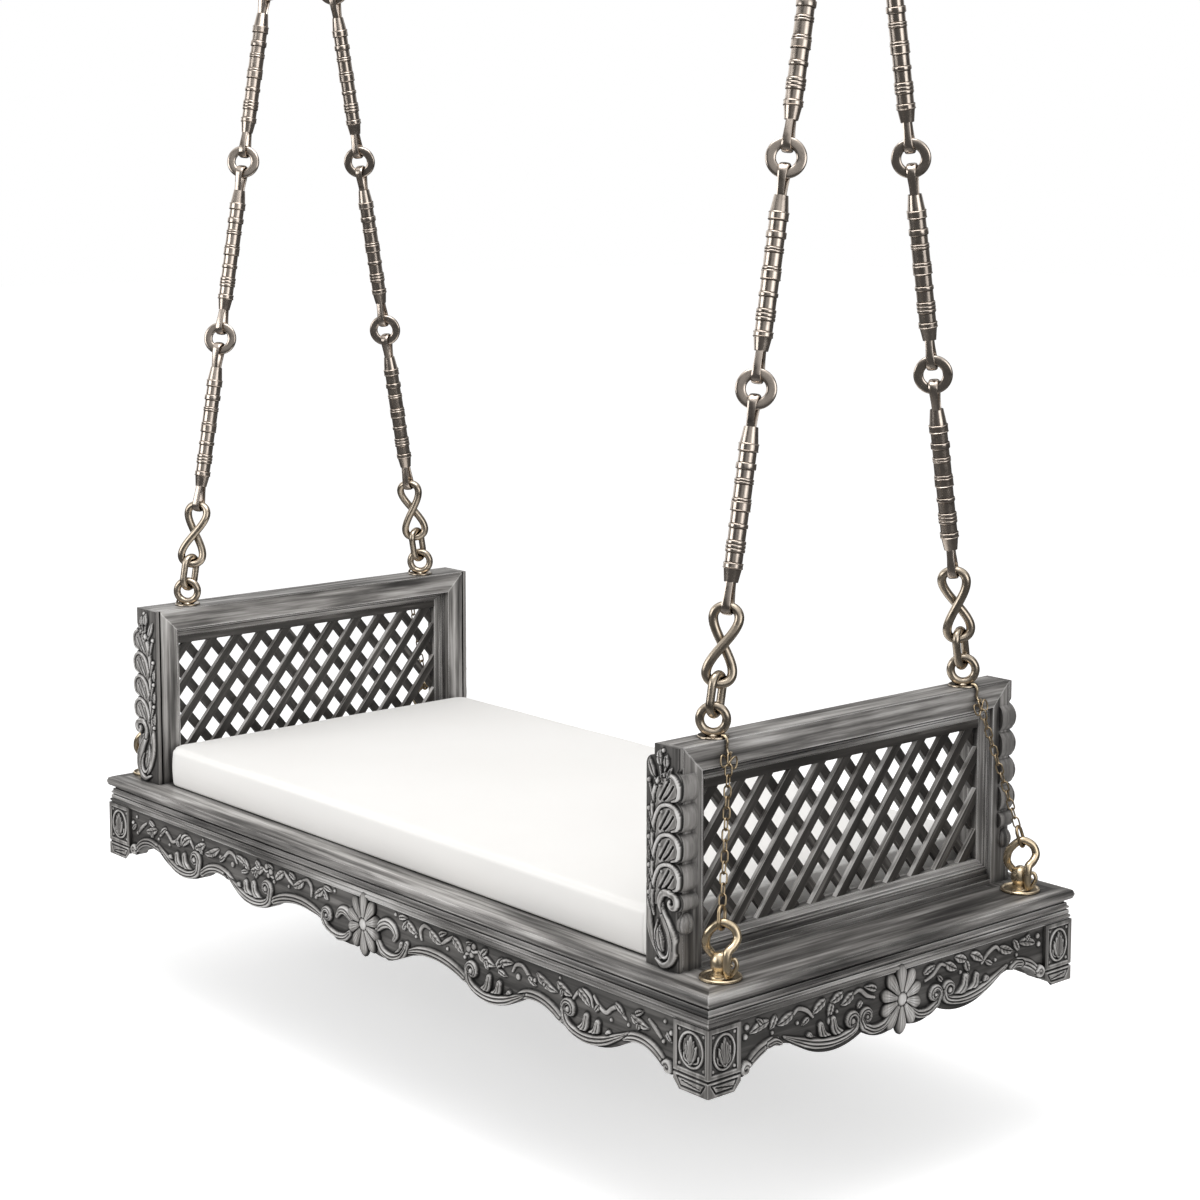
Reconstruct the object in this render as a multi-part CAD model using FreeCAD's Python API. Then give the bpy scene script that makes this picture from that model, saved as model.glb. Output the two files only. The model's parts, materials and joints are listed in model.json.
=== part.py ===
import FreeCAD, Part
import math
import os
from FreeCAD import Rotation, Vector

# A carved wooden bed swing that hangs from two ceiling plates on four chains of turned rods.
# Frame in mm: origin on the ceiling, midway between the two ceiling plates; +X along the bed
# to the end with the wide shelf, +Y to the back, +Z up. Every piece is built round the middle of
# the deck's top, where names that end in _z count from, and moved to the origin when it is saved.

# Deck
deck_length = 1830.0
deck_width = 884.0
deck_thick = 20.0
deck_nose = 8.5
deck_border = 118.0
deck_gap = 0.6

# Moulding under the deck
moulding_height = 34.0
moulding_width = 30.0
cove_inset = 17.0
cove_height = 8.0
upper_bead_inset = 7.0
lower_bead_inset = 4.0
bead_height = 12.0
bead_round = 3.0

# Corner blocks
block_inset = 3.0
block_x = 79.0
block_y = 70.0
block_bottom = 163.0
foot_height = 25.0
foot_groove = 3.0
foot_chamfer = 14.0
field_margin = 9.0
field_depth = 3.0
medallion_rise = 3.0

# Aprons, with depths taken from the top of the deck
apron_inset = 10.0
apron_thick = 22.0
drop_depth = 152.0
roll_height = 9.0
roll_rise = 5.0
rosette_radius = 60.0
rosette_width_share = 0.86
rosette_depth = 103.0
rosette_thick = 5.5
rosette_dome = 12.0
rosette_dome_rise = 4.0
petal_count = 10
petal_waist_share = 0.13
petal_tip_share = 0.27

# Battens under the deck
batten_width = 60.0
batten_height = 30.0
batten_count = 5

# End panels
left_shelf = 62.0
right_shelf = 114.0
post_width = 76.0
post_inset = 39.0
post_depth = 54.0
panel_height = 360.0
carving_thick = 12.0
lobe_depth = 34.0
lobe_reach = 30.0
lobe_rise = 5.0
lobe_notch = 10.5
lobe_count = 4
lobe_pitch = 48.0
lobe_first = 128.0
curl_low = 98.0
breast_high = 60.0
shoulder_drop = 19.0
shoulder_radius = 17.0
rail_height = 42.0
left_rail_thick = 76.0
right_rail_thick = 57.0
bottom_rail_height = 26.0
bottom_step = 9.0
bottom_step_depth = 5.0
ledge_width = 20.0
ledge_thick = 22.0
step_width = 11.0
step_thick = 42.0
slat_width = 16.5
slat_thick = 9.5
slat_pitch_y = 61.5
slat_pitch_z = 74.0

# Mattress
mattress_height = 81.0
mattress_gap = 7.0
mattress_inset = 60.0
mattress_corner = 28.0
mattress_edge = 9.0
mattress_draw = 5.0
mattress_crown = 6.0
mattress_crown_inset = 130.0
mattress_seat = 0.3

# Rail eyes and chains; each chain is measured from the centre of its rail eye
eye_inset = 49.0
chain_turn = 45.0
eye_radius = 21.5
eye_wire = 5.5
eye_sink = 1.5
eye_plate_radius = 25.5
eye_plate_thick = 3.0
eye_shank = 5.0
eye_shank_length = 34.0
link_gap = 0.3
oval_lean = 0.9
oval_wire = 6.5
oval_length = 62.0
oval_bend = 17.5
eight_wire = 7.0
eight_loop = 20.0
eight_height = 84.0
rod_count = 4
rod_length = 322.5
rod_neck = 10.5
rod_body = 12.5
rod_collar = 15.0
rod_cone = 26.0
rod_collar_width = 9.0
rod_collars = 5
strap_bore = 10.2
strap_wall = 5.0
strap_width = 13.0
strap_leg = 22.0
washer_radius = 23.75
washer_wall = 16.5
washer_thick = 9.0
washer_bevel = 2.0
strap_taper_share = 0.75
top_link_bend = 22.0
top_link_length = 70.0
top_link_lean = 0.5
top_link_turn = 67.5
master_radius = 58.0
master_wire = 8.0

# Ceiling hardware
bow_wire = 8.0
bow_radius = 24.0
bow_leg = 52.0
pin_radius = 8.0
pin_clearance = 0.05
pin_head = 13.0
pin_head_thick = 9.0
ear_radius = 14.0
lug_thick = 26.0
lug_gap = 1.0
lug_radius = 20.0
lug_drop = 34.0
plate_length = 150.0
plate_width = 90.0
plate_thick = 8.0
plate_corner = 14.0
plate_hole = 5.5
plate_hole_spacing = 116.0

# Deck hooks and safety chains
hook_inset = 80.0
hook_plate = 30.0
hook_rim = 4.0
hook_plate_thick = 5.0
hook_dish = 2.5
hook_neck = 12.5
hook_neck_height = 8.0
hook_ball = 14.5
ball_seat_share = 0.8
hook_ring = 24.0
hook_wire = 5.2
ring_top_index = 4
hook_drop = 22.0
safety_length = 24.0
safety_width = 14.0
safety_wire = 2.2
clip_wire = 2.2
clip_bend = 9.5
clip_least = 24.0
clip_gap = 1.03

# Overrun for cuts
over = 5.0

# Places worked out from the sizes above
half_length = deck_length / 2
half_width = deck_width / 2
apron_top_z = -deck_thick - moulding_height
post_front = half_width - post_inset
frame_front = post_front - carving_thick
post_back = post_front - post_depth
rail_low_z = panel_height - rail_height
eye_y = post_back - eye_inset
eye_z = panel_height + eye_plate_thick + eye_radius + eye_wire - eye_sink
pivot_z = eye_z + eye_radius
oval_low = eye_radius - eye_wire - link_gap - oval_wire - oval_lean
oval_high = oval_low + oval_length
eight_low = oval_high - oval_wire - link_gap - eight_wire
eight_high = eight_low + 2 * eight_loop + eight_height
eight_end_radius = 4 * eight_loop ** 2 / (eight_loop + eight_height / 2) - eight_wire
strap_sag = strap_width ** 2 / (8 * eight_end_radius)
rod_low = eight_high + strap_bore - eight_wire - strap_sag - link_gap
first_washer = rod_low + rod_length + washer_radius
washer_pitch = rod_length + 2 * washer_radius
last_washer = first_washer + (rod_count - 1) * washer_pitch
top_link_low = last_washer + washer_radius - washer_wall / 2 - oval_wire - link_gap - top_link_lean
top_link_high = top_link_low + top_link_length
master_centre = top_link_high - oval_wire - link_gap - master_wire + master_radius
chain_tilt = math.degrees(math.asin(eye_y / master_centre))
master_z = eye_z + math.sqrt(master_centre ** 2 - eye_y ** 2)
bow_z = master_z + master_radius - master_wire - link_gap - bow_wire + bow_radius
pin_z = bow_z + bow_leg
ceiling_z = pin_z + lug_drop + plate_thick
ends = ("left", "right")
sides = ("front", "back")
sign = {"left": -1, "right": 1, "front": -1, "back": 1}
shelf = {"left": left_shelf, "right": right_shelf}
rail_thick = {"left": left_rail_thick, "right": right_rail_thick}
outer_x = {end: half_length - shelf[end] for end in ends}
hang_x = {end: outer_x[end] - rail_thick[end] / 2 for end in ends}
hook_y = half_width - hook_inset
middle_x = (hang_x["right"] - hang_x["left"]) / 2
origin = Vector()
along_x = Vector(1, 0, 0)
along_y = Vector(0, 1, 0)
along_z = Vector(0, 0, 1)


def save(name, *solids):
    shape = solids[0] if len(solids) == 1 else Part.makeCompound(list(solids))
    shape = shape.translated(Vector(-middle_x, 0, -ceiling_z))
    shape.exportStep("parts/" + name + ".step")
    print(name, len(shape.Solids), shape.isValid(), round(shape.Volume))


def box(x, y, z):
    return Part.makeBox(x[1] - x[0], y[1] - y[0], z[1] - z[0], Vector(x[0], y[0], z[0]))


def face_of(points):
    return Part.Face(Part.makePolygon(list(points) + [points[0]]))


def wire_of(segments):
    """A closed wire of lines (two points) and arcs (three points)."""
    edges = []
    for points in segments:
        if len(points) == 2:
            edges.append(Part.LineSegment(*points).toShape())
        else:
            edges.append(Part.Arc(*points).toShape())
    return Part.Wire(edges)


def to_end(shape, end):
    return shape if end == "right" else shape.mirror(origin, along_x)


def to_side(shape, side):
    return shape if side == "front" else shape.mirror(origin, along_y)


def fuse(*shapes):
    return shapes[0].multiFuse(list(shapes[1:])).removeSplitter()


def turned(shape, axis, degrees):
    shape = shape.copy()
    shape.rotate(origin, axis, degrees)
    return shape


def frame_lengths(profile, half_x, half_y):
    """Four mitred lengths of one profile of (distance in from the edge, height) points."""
    low = min(height for inset, height in profile) - over
    high = max(height for inset, height in profile) + over
    lengths = []
    for number in range(4):
        run, edge = (half_x, half_y) if number % 2 == 0 else (half_y, half_x)
        face = face_of([Vector(-run - over, inset - edge, height) for inset, height in profile])
        length = face.extrude(Vector(2 * (run + over), 0, 0))
        reach = min(run, edge)
        wedge = [
            Vector(-run, -edge, low), Vector(run, -edge, low),
            Vector(run - reach, reach - edge, low), Vector(reach - run, reach - edge, low),
        ]
        if run == reach:
            wedge.pop()
        length = length.common(face_of(wedge).extrude(Vector(0, 0, high - low)))
        lengths.append(turned(length.Solids[0], along_z, 90 * number))
    return lengths


def tube(points, radius):
    """A round bar along a smooth curve through the points."""
    curve = Part.BSplineCurve()
    curve.interpolate(Points=points)
    spine = Part.Wire(curve.toShape())
    start = curve.value(curve.FirstParameter)
    tangent = curve.tangent(curve.FirstParameter)[0]
    section = Part.Wire(Part.makeCircle(radius, start, tangent))
    return spine.makePipeShell([section], True, False)


# Deck: four mitred border boards with a rounded nose round a flush panel, on battens

def deck():
    nose = deck_nose
    quarter = nose * (1 - math.sqrt(0.5))
    profile = [
        (nose, -deck_thick), (quarter, quarter - deck_thick), (0, nose - deck_thick),
        (0, -nose), (quarter, -quarter), (nose, 0),
        (deck_border, 0), (deck_border, -deck_thick),
    ]
    boards = frame_lengths(profile, half_length, half_width)
    inset = deck_border + deck_gap
    panel = box((inset - half_length, half_length - inset), (inset - half_width, half_width - inset),
                (-deck_thick, 0))
    save("deck_border_boards", *boards)
    save("deck_panel", panel)


def deck_moulding():
    cove_z = -deck_thick - cove_height
    step_z = cove_z - bead_height
    profile = [
        (cove_inset, -deck_thick), (cove_inset, cove_z), (upper_bead_inset + bead_round, cove_z),
        (upper_bead_inset, cove_z - bead_round), (upper_bead_inset, step_z + bead_round),
        (upper_bead_inset + bead_round, step_z), (lower_bead_inset + bead_round, step_z),
        (lower_bead_inset, step_z - bead_round), (lower_bead_inset, apron_top_z),
        (moulding_width, apron_top_z), (moulding_width, -deck_thick),
    ]
    save("deck_moulding", *frame_lengths(profile, half_length, half_width))


def deck_battens():
    reach = half_width - apron_inset - apron_thick
    pitch = (deck_length - 2 * deck_border) / batten_count
    battens = []
    for number in range(batten_count):
        x = (number - (batten_count - 1) / 2) * pitch
        battens.append(box((x - batten_width / 2, x + batten_width / 2), (moulding_width - half_width,
                       half_width - moulding_width), (-deck_thick - batten_height, -deck_thick)))
    save("deck_battens", *battens)


# Corner blocks: a framed field with an oval medallion over a grooved foot

def medallion(width, height):
    upright = Part.Ellipse(origin, height / 2, width / 2)
    disc = Part.Face(Part.Wire(upright.toShape())).extrude(Vector(0, 0, medallion_rise + field_depth))
    return turned(disc, along_z, 90)


def corner_block():
    x = (half_length - block_inset - block_x, half_length - block_inset)
    y = (block_inset - half_width, block_inset - half_width + block_y)
    foot_z = foot_height - block_bottom
    block = box(x, y, (-block_bottom, apron_top_z))
    groove = box((x[0] - over, x[1] + over), (y[0] - over, y[1] + over), (foot_z, foot_z + foot_groove))
    core = box((x[0] - over, x[1] - foot_groove), (y[0] + foot_groove, y[1] + over),
               (foot_z - over, foot_z + foot_groove + over))
    block = block.cut(groove.cut(core))
    corners = (
        [Vector(x[0], y[0] - over, -block_bottom), Vector(x[0] + foot_chamfer, y[0] - over, -block_bottom),
         Vector(x[0], y[0] - over, foot_chamfer - block_bottom)],
        [Vector(x[0] - over, y[1], -block_bottom), Vector(x[0] - over, y[1] - foot_chamfer, -block_bottom),
         Vector(x[0] - over, y[1], foot_chamfer - block_bottom)],
    )
    block = block.cut(face_of(corners[0]).extrude(Vector(0, block_y + 2 * over, 0)))
    block = block.cut(face_of(corners[1]).extrude(Vector(block_x + 2 * over, 0, 0)))
    z = (foot_z + foot_groove + field_margin, apron_top_z - field_margin)
    front_field = box((x[0] + field_margin, x[1] - field_margin), (y[0] - over, y[0] + field_depth), z)
    end_field = box((x[1] - field_depth, x[1] + over), (y[0] + field_margin, y[1] - field_margin), z)
    block = block.cut(front_field).cut(end_field)
    height = z[1] - z[0] - field_margin
    middle_z = (z[0] + z[1]) / 2
    front = turned(medallion(block_x - 4 * field_margin, height), along_x, 90)
    front.translate(Vector((x[0] + x[1]) / 2, y[0] + field_depth + field_depth, middle_z))
    end = turned(turned(medallion(block_y - 4 * field_margin, height), along_x, 90), along_z, 90)
    end.translate(Vector(x[1] - 2 * field_depth, (y[0] + y[1]) / 2, middle_z))
    return fuse(block, front, end)


def corner_blocks():
    block = corner_block()
    for end in ends:
        for side in sides:
            save(side + "_" + end + "_corner_block", to_side(to_end(block, end), side))


# Aprons: scalloped boards with a roll along the lower edge and a rosette in the middle.
# Each row is one arc of the lower edge, from where the last one ended: the share of the half
# length at its middle and end, and the shares of the drop depth there.

front_start_share = 0.93
front_arc_shares = [
    (0.07, 1.00, 0.140, 0.90), (0.255, 0.765, 0.360, 0.90), (0.440, 1.015, 0.518, 0.90),
    (0.590, 0.775, 0.662, 0.90), (0.754, 1.015, 0.848, 0.88), (0.915, 0.79, 0.967, 0.93),
    (0.984, 0.985, 1.000, 0.93),
]
end_arc_shares = [
    (0.15, 1.00, 0.245, 0.91), (0.455, 1.00, 0.640, 0.84), (0.825, 0.755, 0.950, 0.92),
    (0.976, 0.97, 1.000, 0.93),
]


def apron_edge(half_run, rows, raise_by):
    """The lower edge from one corner block to the other, as lists of three points (x, depth)."""
    arcs = []
    at = (0, -front_start_share * drop_depth + raise_by)
    for middle, middle_depth, end, end_depth in rows:
        through = (middle * half_run, -middle_depth * drop_depth + raise_by)
        to = (end * half_run, -end_depth * drop_depth + raise_by)
        arcs.append([at, through, to])
        at = to
    mirrored = [[(-x, z) for x, z in reversed(arc)] for arc in reversed(arcs)]
    return mirrored + arcs


def apron_face(half_run, rows, y, top_z, thin=None):
    """The apron's outline at one y; with thin it is only a band of that height at the edge."""
    lower = [[Vector(px, y, pz) for px, pz in arc] for arc in apron_edge(half_run, rows, 0)]
    start, finish = lower[0][0], lower[-1][-1]
    if thin is None:
        upper = [[Vector(half_run, y, top_z), Vector(-half_run, y, top_z)]]
    else:
        upper = [[Vector(px, y, pz) for px, pz in reversed(arc)]
                 for arc in reversed(apron_edge(half_run, rows, thin))]
    closing = [[finish, upper[0][0]], [upper[-1][-1], start]]
    return Part.Face(wire_of(lower + closing[:1] + upper + closing[1:]))


def apron(half_run, rows, face_y):
    board = apron_face(half_run, rows, -face_y, apron_top_z).extrude(Vector(0, apron_thick, 0))
    roll = apron_face(half_run, rows, -face_y, apron_top_z, roll_height)
    return fuse(board, roll.extrude(Vector(0, -roll_rise, 0)))


def rosette():
    """Petals round a dome, upright in the X-Z plane with their backs at y = 0."""
    pieces = []
    for number in range(petal_count):
        turn = 2 * math.pi * (number + 0.5) / petal_count
        length = rosette_radius * (1 - (1 - rosette_width_share) * abs(math.cos(turn)))
        waist = petal_waist_share * rosette_radius
        tip = petal_tip_share * rosette_radius * rosette_width_share
        shoulder = length - tip
        outline = wire_of([
            [Vector(0, 0, -waist / 2), Vector(shoulder, 0, -tip)],
            [Vector(shoulder, 0, -tip), Vector(length, 0, 0), Vector(shoulder, 0, tip)],
            [Vector(shoulder, 0, tip), Vector(0, 0, waist / 2)],
            [Vector(0, 0, waist / 2), Vector(0, 0, -waist / 2)],
        ])
        petal = Part.Face(outline).extrude(Vector(0, -rosette_thick, 0))
        pieces.append(turned(petal, along_y, math.degrees(turn)))
    front = -rosette_thick - rosette_dome_rise
    dome = Part.makeSphere(rosette_dome, Vector(0, front + rosette_dome, 0))
    reach = (-rosette_dome, rosette_dome)
    pieces.append(dome.common(box(reach, (front - over, 0), reach)))
    return fuse(*pieces)


def aprons():
    front_run = half_length - block_inset - block_x
    end_run = half_width - block_inset - block_y
    board = apron(front_run, front_arc_shares, half_width - apron_inset)
    end_board = turned(apron(end_run, end_arc_shares, half_length - apron_inset), along_z, 90)
    save("front_apron", board)
    save("back_apron", to_side(board, "back"))
    save("right_apron", end_board)
    save("left_apron", to_end(end_board, "left"))


def rosettes():
    front_face = half_width - apron_inset
    end_face = half_length - apron_inset
    flower = rosette().translated(Vector(0, 0, -rosette_depth))
    cove_z = -deck_thick - cove_height
    bead = box((-rosette_radius, rosette_radius), (-front_face - apron_inset + lower_bead_inset, over - front_face),
               (apron_top_z, cove_z))
    rolls = apron(half_length - block_inset - block_x, front_arc_shares, front_face)
    front = flower.translated(Vector(0, -front_face, 0)).cut(bead).cut(rolls)
    bead.translate(Vector(0, front_face - end_face, 0))
    rolls = apron(half_width - block_inset - block_y, end_arc_shares, end_face)
    end = turned(flower.translated(Vector(0, -end_face, 0)).cut(bead).cut(rolls), along_z, 90)
    save("apron_rosettes", front, to_side(front, "back"), end, to_end(end, "left"))


# End panels: carved posts, mitred top rail, bottom rail, stepped frame and two lattice layers

def carving(end):
    """The carved facing of a front post, with lobes that run on round its outer corner."""
    inner = outer_x[end] - post_width
    outer = outer_x[end]
    notch = outer + lobe_rise - lobe_notch
    tip = outer + lobe_rise
    top = lobe_first + lobe_count * lobe_pitch

    def at(x, z):
        return Vector(x, -post_front, z)

    lobes = []
    for number in range(lobe_count):
        low = lobe_first + number * lobe_pitch
        lobes.append([at(notch, low), at(tip, low + lobe_pitch / 2), at(notch, low + lobe_pitch)])
    curl = [at(notch, curl_low), at(tip, (curl_low + lobe_first) / 2), at(notch, lobe_first)]
    rail = outer - rail_thick[end]
    edges = [[at(inner, 0), at(outer, 0)], [at(outer, 0), at(outer, breast_high)],
             [at(outer, breast_high), at(notch, breast_high + lobe_notch)],
             [at(notch, breast_high + lobe_notch), at(notch, curl_low)], curl] + lobes
    edges += [[at(notch, top), at(outer, top + lobe_notch)],
              [at(outer, top + lobe_notch), at(outer, panel_height)]]
    edges += shoulder(inner, rail, -post_front, outer)
    slab = Part.Face(wire_of(edges)).extrude(Vector(0, carving_thick, 0))
    lobe_edges = [curl] + lobes + [
        [at(notch, top), at(outer - lobe_reach, top)],
        [at(outer - lobe_reach, top), at(outer - lobe_reach, curl_low)],
        [at(outer - lobe_reach, curl_low), at(notch, curl_low)],
    ]
    wrap = Part.Face(wire_of(lobe_edges)).extrude(Vector(0, lobe_depth, 0))
    return fuse(slab, wrap)


def shoulder(inner, rail, y, outer):
    """The top edge from the outer corner down to the inner foot, rounded beside a thin rail."""
    def at(x, z):
        return Vector(x, y, z)

    if rail - inner < shoulder_radius:
        return [[at(outer, panel_height), at(inner, panel_height)], [at(inner, panel_height), at(inner, 0)]]
    low = panel_height - shoulder_drop
    bend = shoulder_radius * (1 - math.sqrt(0.5))
    return [
        [at(outer, panel_height), at(rail, panel_height)], [at(rail, panel_height), at(rail, low)],
        [at(rail, low), at(inner + shoulder_radius, low)],
        [at(inner + shoulder_radius, low), at(inner + bend, low - bend), at(inner, low - shoulder_radius)],
        [at(inner, low - shoulder_radius), at(inner, 0)],
    ]


def top_rail(end):
    """The top rail, mitred at both ends down to the backs of the posts."""
    x = outer_x[end] - rail_thick[end]
    miter = frame_front - rail_height
    rail = face_of([
        Vector(x, -frame_front, panel_height), Vector(x, frame_front, panel_height),
        Vector(x, miter, rail_low_z), Vector(x, -miter, rail_low_z),
    ]).extrude(Vector(rail_thick[end], 0, 0))
    for side in sides:
        shank = Part.makeCylinder(eye_shank, eye_shank_length + over, Vector(hang_x[end], -eye_y,
                                  panel_height - eye_shank_length))
        rail = rail.cut(to_side(shank, side))
    return rail


def post(end):
    inner = outer_x[end] - post_width
    outer = outer_x[end]
    edges = [[Vector(inner, -frame_front, 0), Vector(outer, -frame_front, 0)],
             [Vector(outer, -frame_front, 0), Vector(outer, -frame_front, panel_height)]]
    edges += shoulder(inner, outer - rail_thick[end], -frame_front, outer)
    body = Part.Face(wire_of(edges)).extrude(Vector(0, post_depth - carving_thick, 0))
    return body.cut(top_rail(end)).cut(carving(end))


def bottom_rail(end):
    outer = outer_x[end]
    inner = outer - rail_thick[end]
    step = bottom_step_depth
    profile = [
        Vector(inner, -post_back, 0), Vector(outer, -post_back, 0), Vector(outer, -post_back, bottom_step),
        Vector(outer - step, -post_back, bottom_step), Vector(outer - step, -post_back, 2 * bottom_step),
        Vector(outer - 2 * step, -post_back, 2 * bottom_step),
        Vector(outer - 2 * step, -post_back, bottom_rail_height),
        Vector(inner + 2 * step, -post_back, bottom_rail_height),
        Vector(inner + 2 * step, -post_back, 2 * bottom_step),
        Vector(inner + step, -post_back, 2 * bottom_step), Vector(inner + step, -post_back, bottom_step),
        Vector(inner, -post_back, bottom_step),
    ]
    return face_of(profile).extrude(Vector(0, 2 * post_back, 0))


def upright_frame(shape, end):
    """Stands a flat frame, drawn round the origin, in the middle of an end panel."""
    shape = turned(turned(shape, along_x, 90), along_z, 90)
    return shape.translated(Vector(hang_x[end], 0, (bottom_rail_height + rail_low_z) / 2))


def panel_frame(end):
    step = step_thick / 2
    ledge = ledge_thick / 2
    profile = [(0, -step), (step_width, -step), (step_width, -ledge), (ledge_width, -ledge),
               (ledge_width, ledge), (step_width, ledge), (step_width, step), (0, step)]
    half_height = (rail_low_z - bottom_rail_height) / 2
    return [upright_frame(length, end) for length in frame_lengths(profile, post_back, half_height)]


def lattice(end, layer, lean):
    """One layer of slats that all lean the same way, cut off at the frame."""
    half_y = post_back - ledge_width
    half_z = (rail_low_z - bottom_rail_height) / 2 - ledge_width
    depth = (0, slat_thick) if layer == "outer" else (-slat_thick, 0)
    opening = box((-half_y, half_y), (-half_z, half_z), depth)
    angle = math.atan2(slat_pitch_z, slat_pitch_y)
    reach = half_y + half_z
    slats = []
    count = math.ceil((half_y + half_z * slat_pitch_y / slat_pitch_z) / slat_pitch_y)
    for number in range(-count, count + 1):
        slat = box((-reach, reach), (-slat_width / 2, slat_width / 2), depth)
        slat = turned(slat, along_z, lean * math.degrees(angle))
        slat.translate(Vector((number + 0.5) * slat_pitch_y, 0, 0))
        slat = slat.common(opening)
        if slat.Solids and slat.Volume > slat_thick * slat_width ** 2:
            slats.append(upright_frame(slat.Solids[0], end))
    return slats


def end_panels():
    for end in ends:
        for side in sides:
            save(side + "_" + end + "_post", to_side(to_end(post(end), end), side))
            save(side + "_" + end + "_post_carving", to_side(to_end(carving(end), end), side))
        save(end + "_top_rail", to_end(top_rail(end), end))
        save(end + "_bottom_rail", to_end(bottom_rail(end), end))
        save(end + "_panel_moulding", *[to_end(length, end) for length in panel_frame(end)])
        for layer, lean in (("outer", sign[end]), ("inner", -sign[end])):
            save(end + "_lattice_" + layer + "_slats", *[to_end(slat, end) for slat in lattice(end, layer, lean)])


# Mattress: a boxed pad with a crowned top and sides that draw in between its corners

def mattress_section(x, y, z, corner, draw):
    """A rounded rectangle whose four sides bow inwards by draw."""
    bend = corner * (1 - math.sqrt(0.5))
    segments = []
    for number in range(4):
        a, b = (x, y) if number % 2 == 0 else (y, x)
        side = [Vector(corner - a, -b, z), Vector(0, draw - b, z), Vector(a - corner, -b, z)]
        turn = [side[2], Vector(a - bend, bend - b, z), Vector(a, corner - b, z)]
        quarter = Rotation(along_z, 90 * number)
        segments += [[quarter.multVec(point) for point in side], [quarter.multVec(point) for point in turn]]
    return wire_of(segments)


def mattress():
    low_x = -(outer_x["left"] - post_width) + mattress_gap
    high_x = outer_x["right"] - post_width - mattress_gap
    half_x = (high_x - low_x) / 2
    half_y = half_width - mattress_inset
    base = mattress_seat
    top = base + mattress_height
    rows = [
        (mattress_edge, base, mattress_draw / 2), (0, base + mattress_edge, mattress_draw),
        (0, top - mattress_edge, mattress_draw), (mattress_edge, top, mattress_draw / 2),
        (mattress_crown_inset, top + mattress_crown, mattress_draw / 2),
    ]
    sections = [mattress_section(half_x - inset, half_y - inset, z, mattress_corner, draw)
                for inset, z, draw in rows]
    pad = Part.makeLoft(sections, True, True)
    save("mattress", pad.translated(Vector((low_x + high_x) / 2, 0, 0)))


# Chains: built upright from the centre of the rail eye, turned, then leaned to the apex

def ring_bar(radius, wire):
    """A round ring upright in the X-Z plane, centred on the origin."""
    return turned(Part.makeTorus(radius, wire), along_x, 90)


def rail_eye(end, side):
    """A ring on a round plate, with a shank down into the top rail."""
    ring = turned(ring_bar(eye_radius, eye_wire), along_z, chain_turn)
    ring.translate(Vector(0, 0, eye_z))
    plate = Part.makeCylinder(eye_plate_radius, eye_plate_thick, Vector(0, 0, panel_height))
    shank = Part.makeCylinder(eye_shank, eye_shank_length, Vector(0, 0, panel_height - eye_shank_length))
    return fuse(plate, ring, shank).translated(Vector(sign[end] * hang_x[end], sign[side] * eye_y, 0))


def place_on_chain(shape, end, side, turn):
    lean = -chain_tilt if side == "front" else chain_tilt
    shape = turned(turned(shape, along_z, turn), along_x, lean)
    return shape.translated(Vector(sign[end] * hang_x[end], sign[side] * eye_y, eye_z))


def long_link(low, bend, wire, length):
    """A long link in the Y-Z plane, with its lower bar centred at height low."""
    straight = length - 2 * bend
    ring = turned(ring_bar(bend, wire), along_z, 90)
    reach = bend + wire + over
    lower = ring.common(box((-reach, reach), (-reach, reach), (-reach, 0)))
    upper = ring.common(box((-reach, reach), (-reach, reach), (0, reach))).translated(Vector(0, 0, straight))
    legs = [Part.makeCylinder(wire, straight, Vector(0, y, 0)) for y in (-bend, bend)]
    return fuse(lower, upper, *legs).translated(Vector(0, 0, low + bend))


def eight_link():
    """A twisted link whose two loops face along Y, crossing in the middle without touching."""
    half = eight_height / 2 + eight_loop
    steps = 8
    strands = []
    for first in (0, steps):
        points = []
        for step in range(first, first + steps + 1):
            t = math.pi * step / steps
            x = eight_loop * math.sin(2 * t)
            y = (eight_wire + link_gap) * math.sin(t)
            points.append(Vector(x, y, eight_low + half - half * math.cos(t)))
        strands.append(tube(points, eight_wire))
    return fuse(*strands)


def strap():
    """The loop at the end of a rod, in the Y-Z plane, with its bore centred on the origin."""
    outer = strap_bore + strap_wall

    def loop(radius, neck, height):
        """A half round below, with two sides that lean in from it to a neck at that height."""
        return Part.Face(wire_of([
            [Vector(0, -radius, 0), Vector(0, 0, -radius), Vector(0, radius, 0)],
            [Vector(0, radius, 0), Vector(0, neck, height)],
            [Vector(0, neck, height), Vector(0, -neck, height)],
            [Vector(0, -neck, height), Vector(0, -radius, 0)],
        ]))

    plate = loop(outer, rod_neck, outer + strap_leg)
    plate = plate.cut(loop(strap_bore, strap_bore * strap_taper_share, strap_leg))
    return plate.extrude(Vector(strap_width, 0, 0)).translated(Vector(-strap_width / 2, 0, 0))


def rod(low):
    """A turned rod between two strap loops, with the lower loop's bore centred at height low."""
    start = strap_bore + strap_wall + strap_leg
    finish = rod_length - start
    first = start + rod_cone
    pitch = (finish - rod_cone - rod_collar_width - first) / (rod_collars - 1)
    half = [Vector(0, 0, start), Vector(rod_neck, 0, start), Vector(rod_body, 0, first)]
    for number in range(rod_collars):
        z = first + number * pitch
        half += [Vector(rod_collar, 0, z), Vector(rod_collar, 0, z + rod_collar_width),
                 Vector(rod_body, 0, z + rod_collar_width), Vector(rod_body, 0, z + pitch)]
    half[-1] = Vector(rod_neck, 0, finish)
    half.append(Vector(0, 0, finish))
    turned_part = face_of(half).revolve(origin, along_z, 360)
    upper = turned(strap(), along_x, 180).translated(Vector(0, 0, rod_length))
    return fuse(turned_part, strap(), upper).translated(Vector(0, 0, low))


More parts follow.
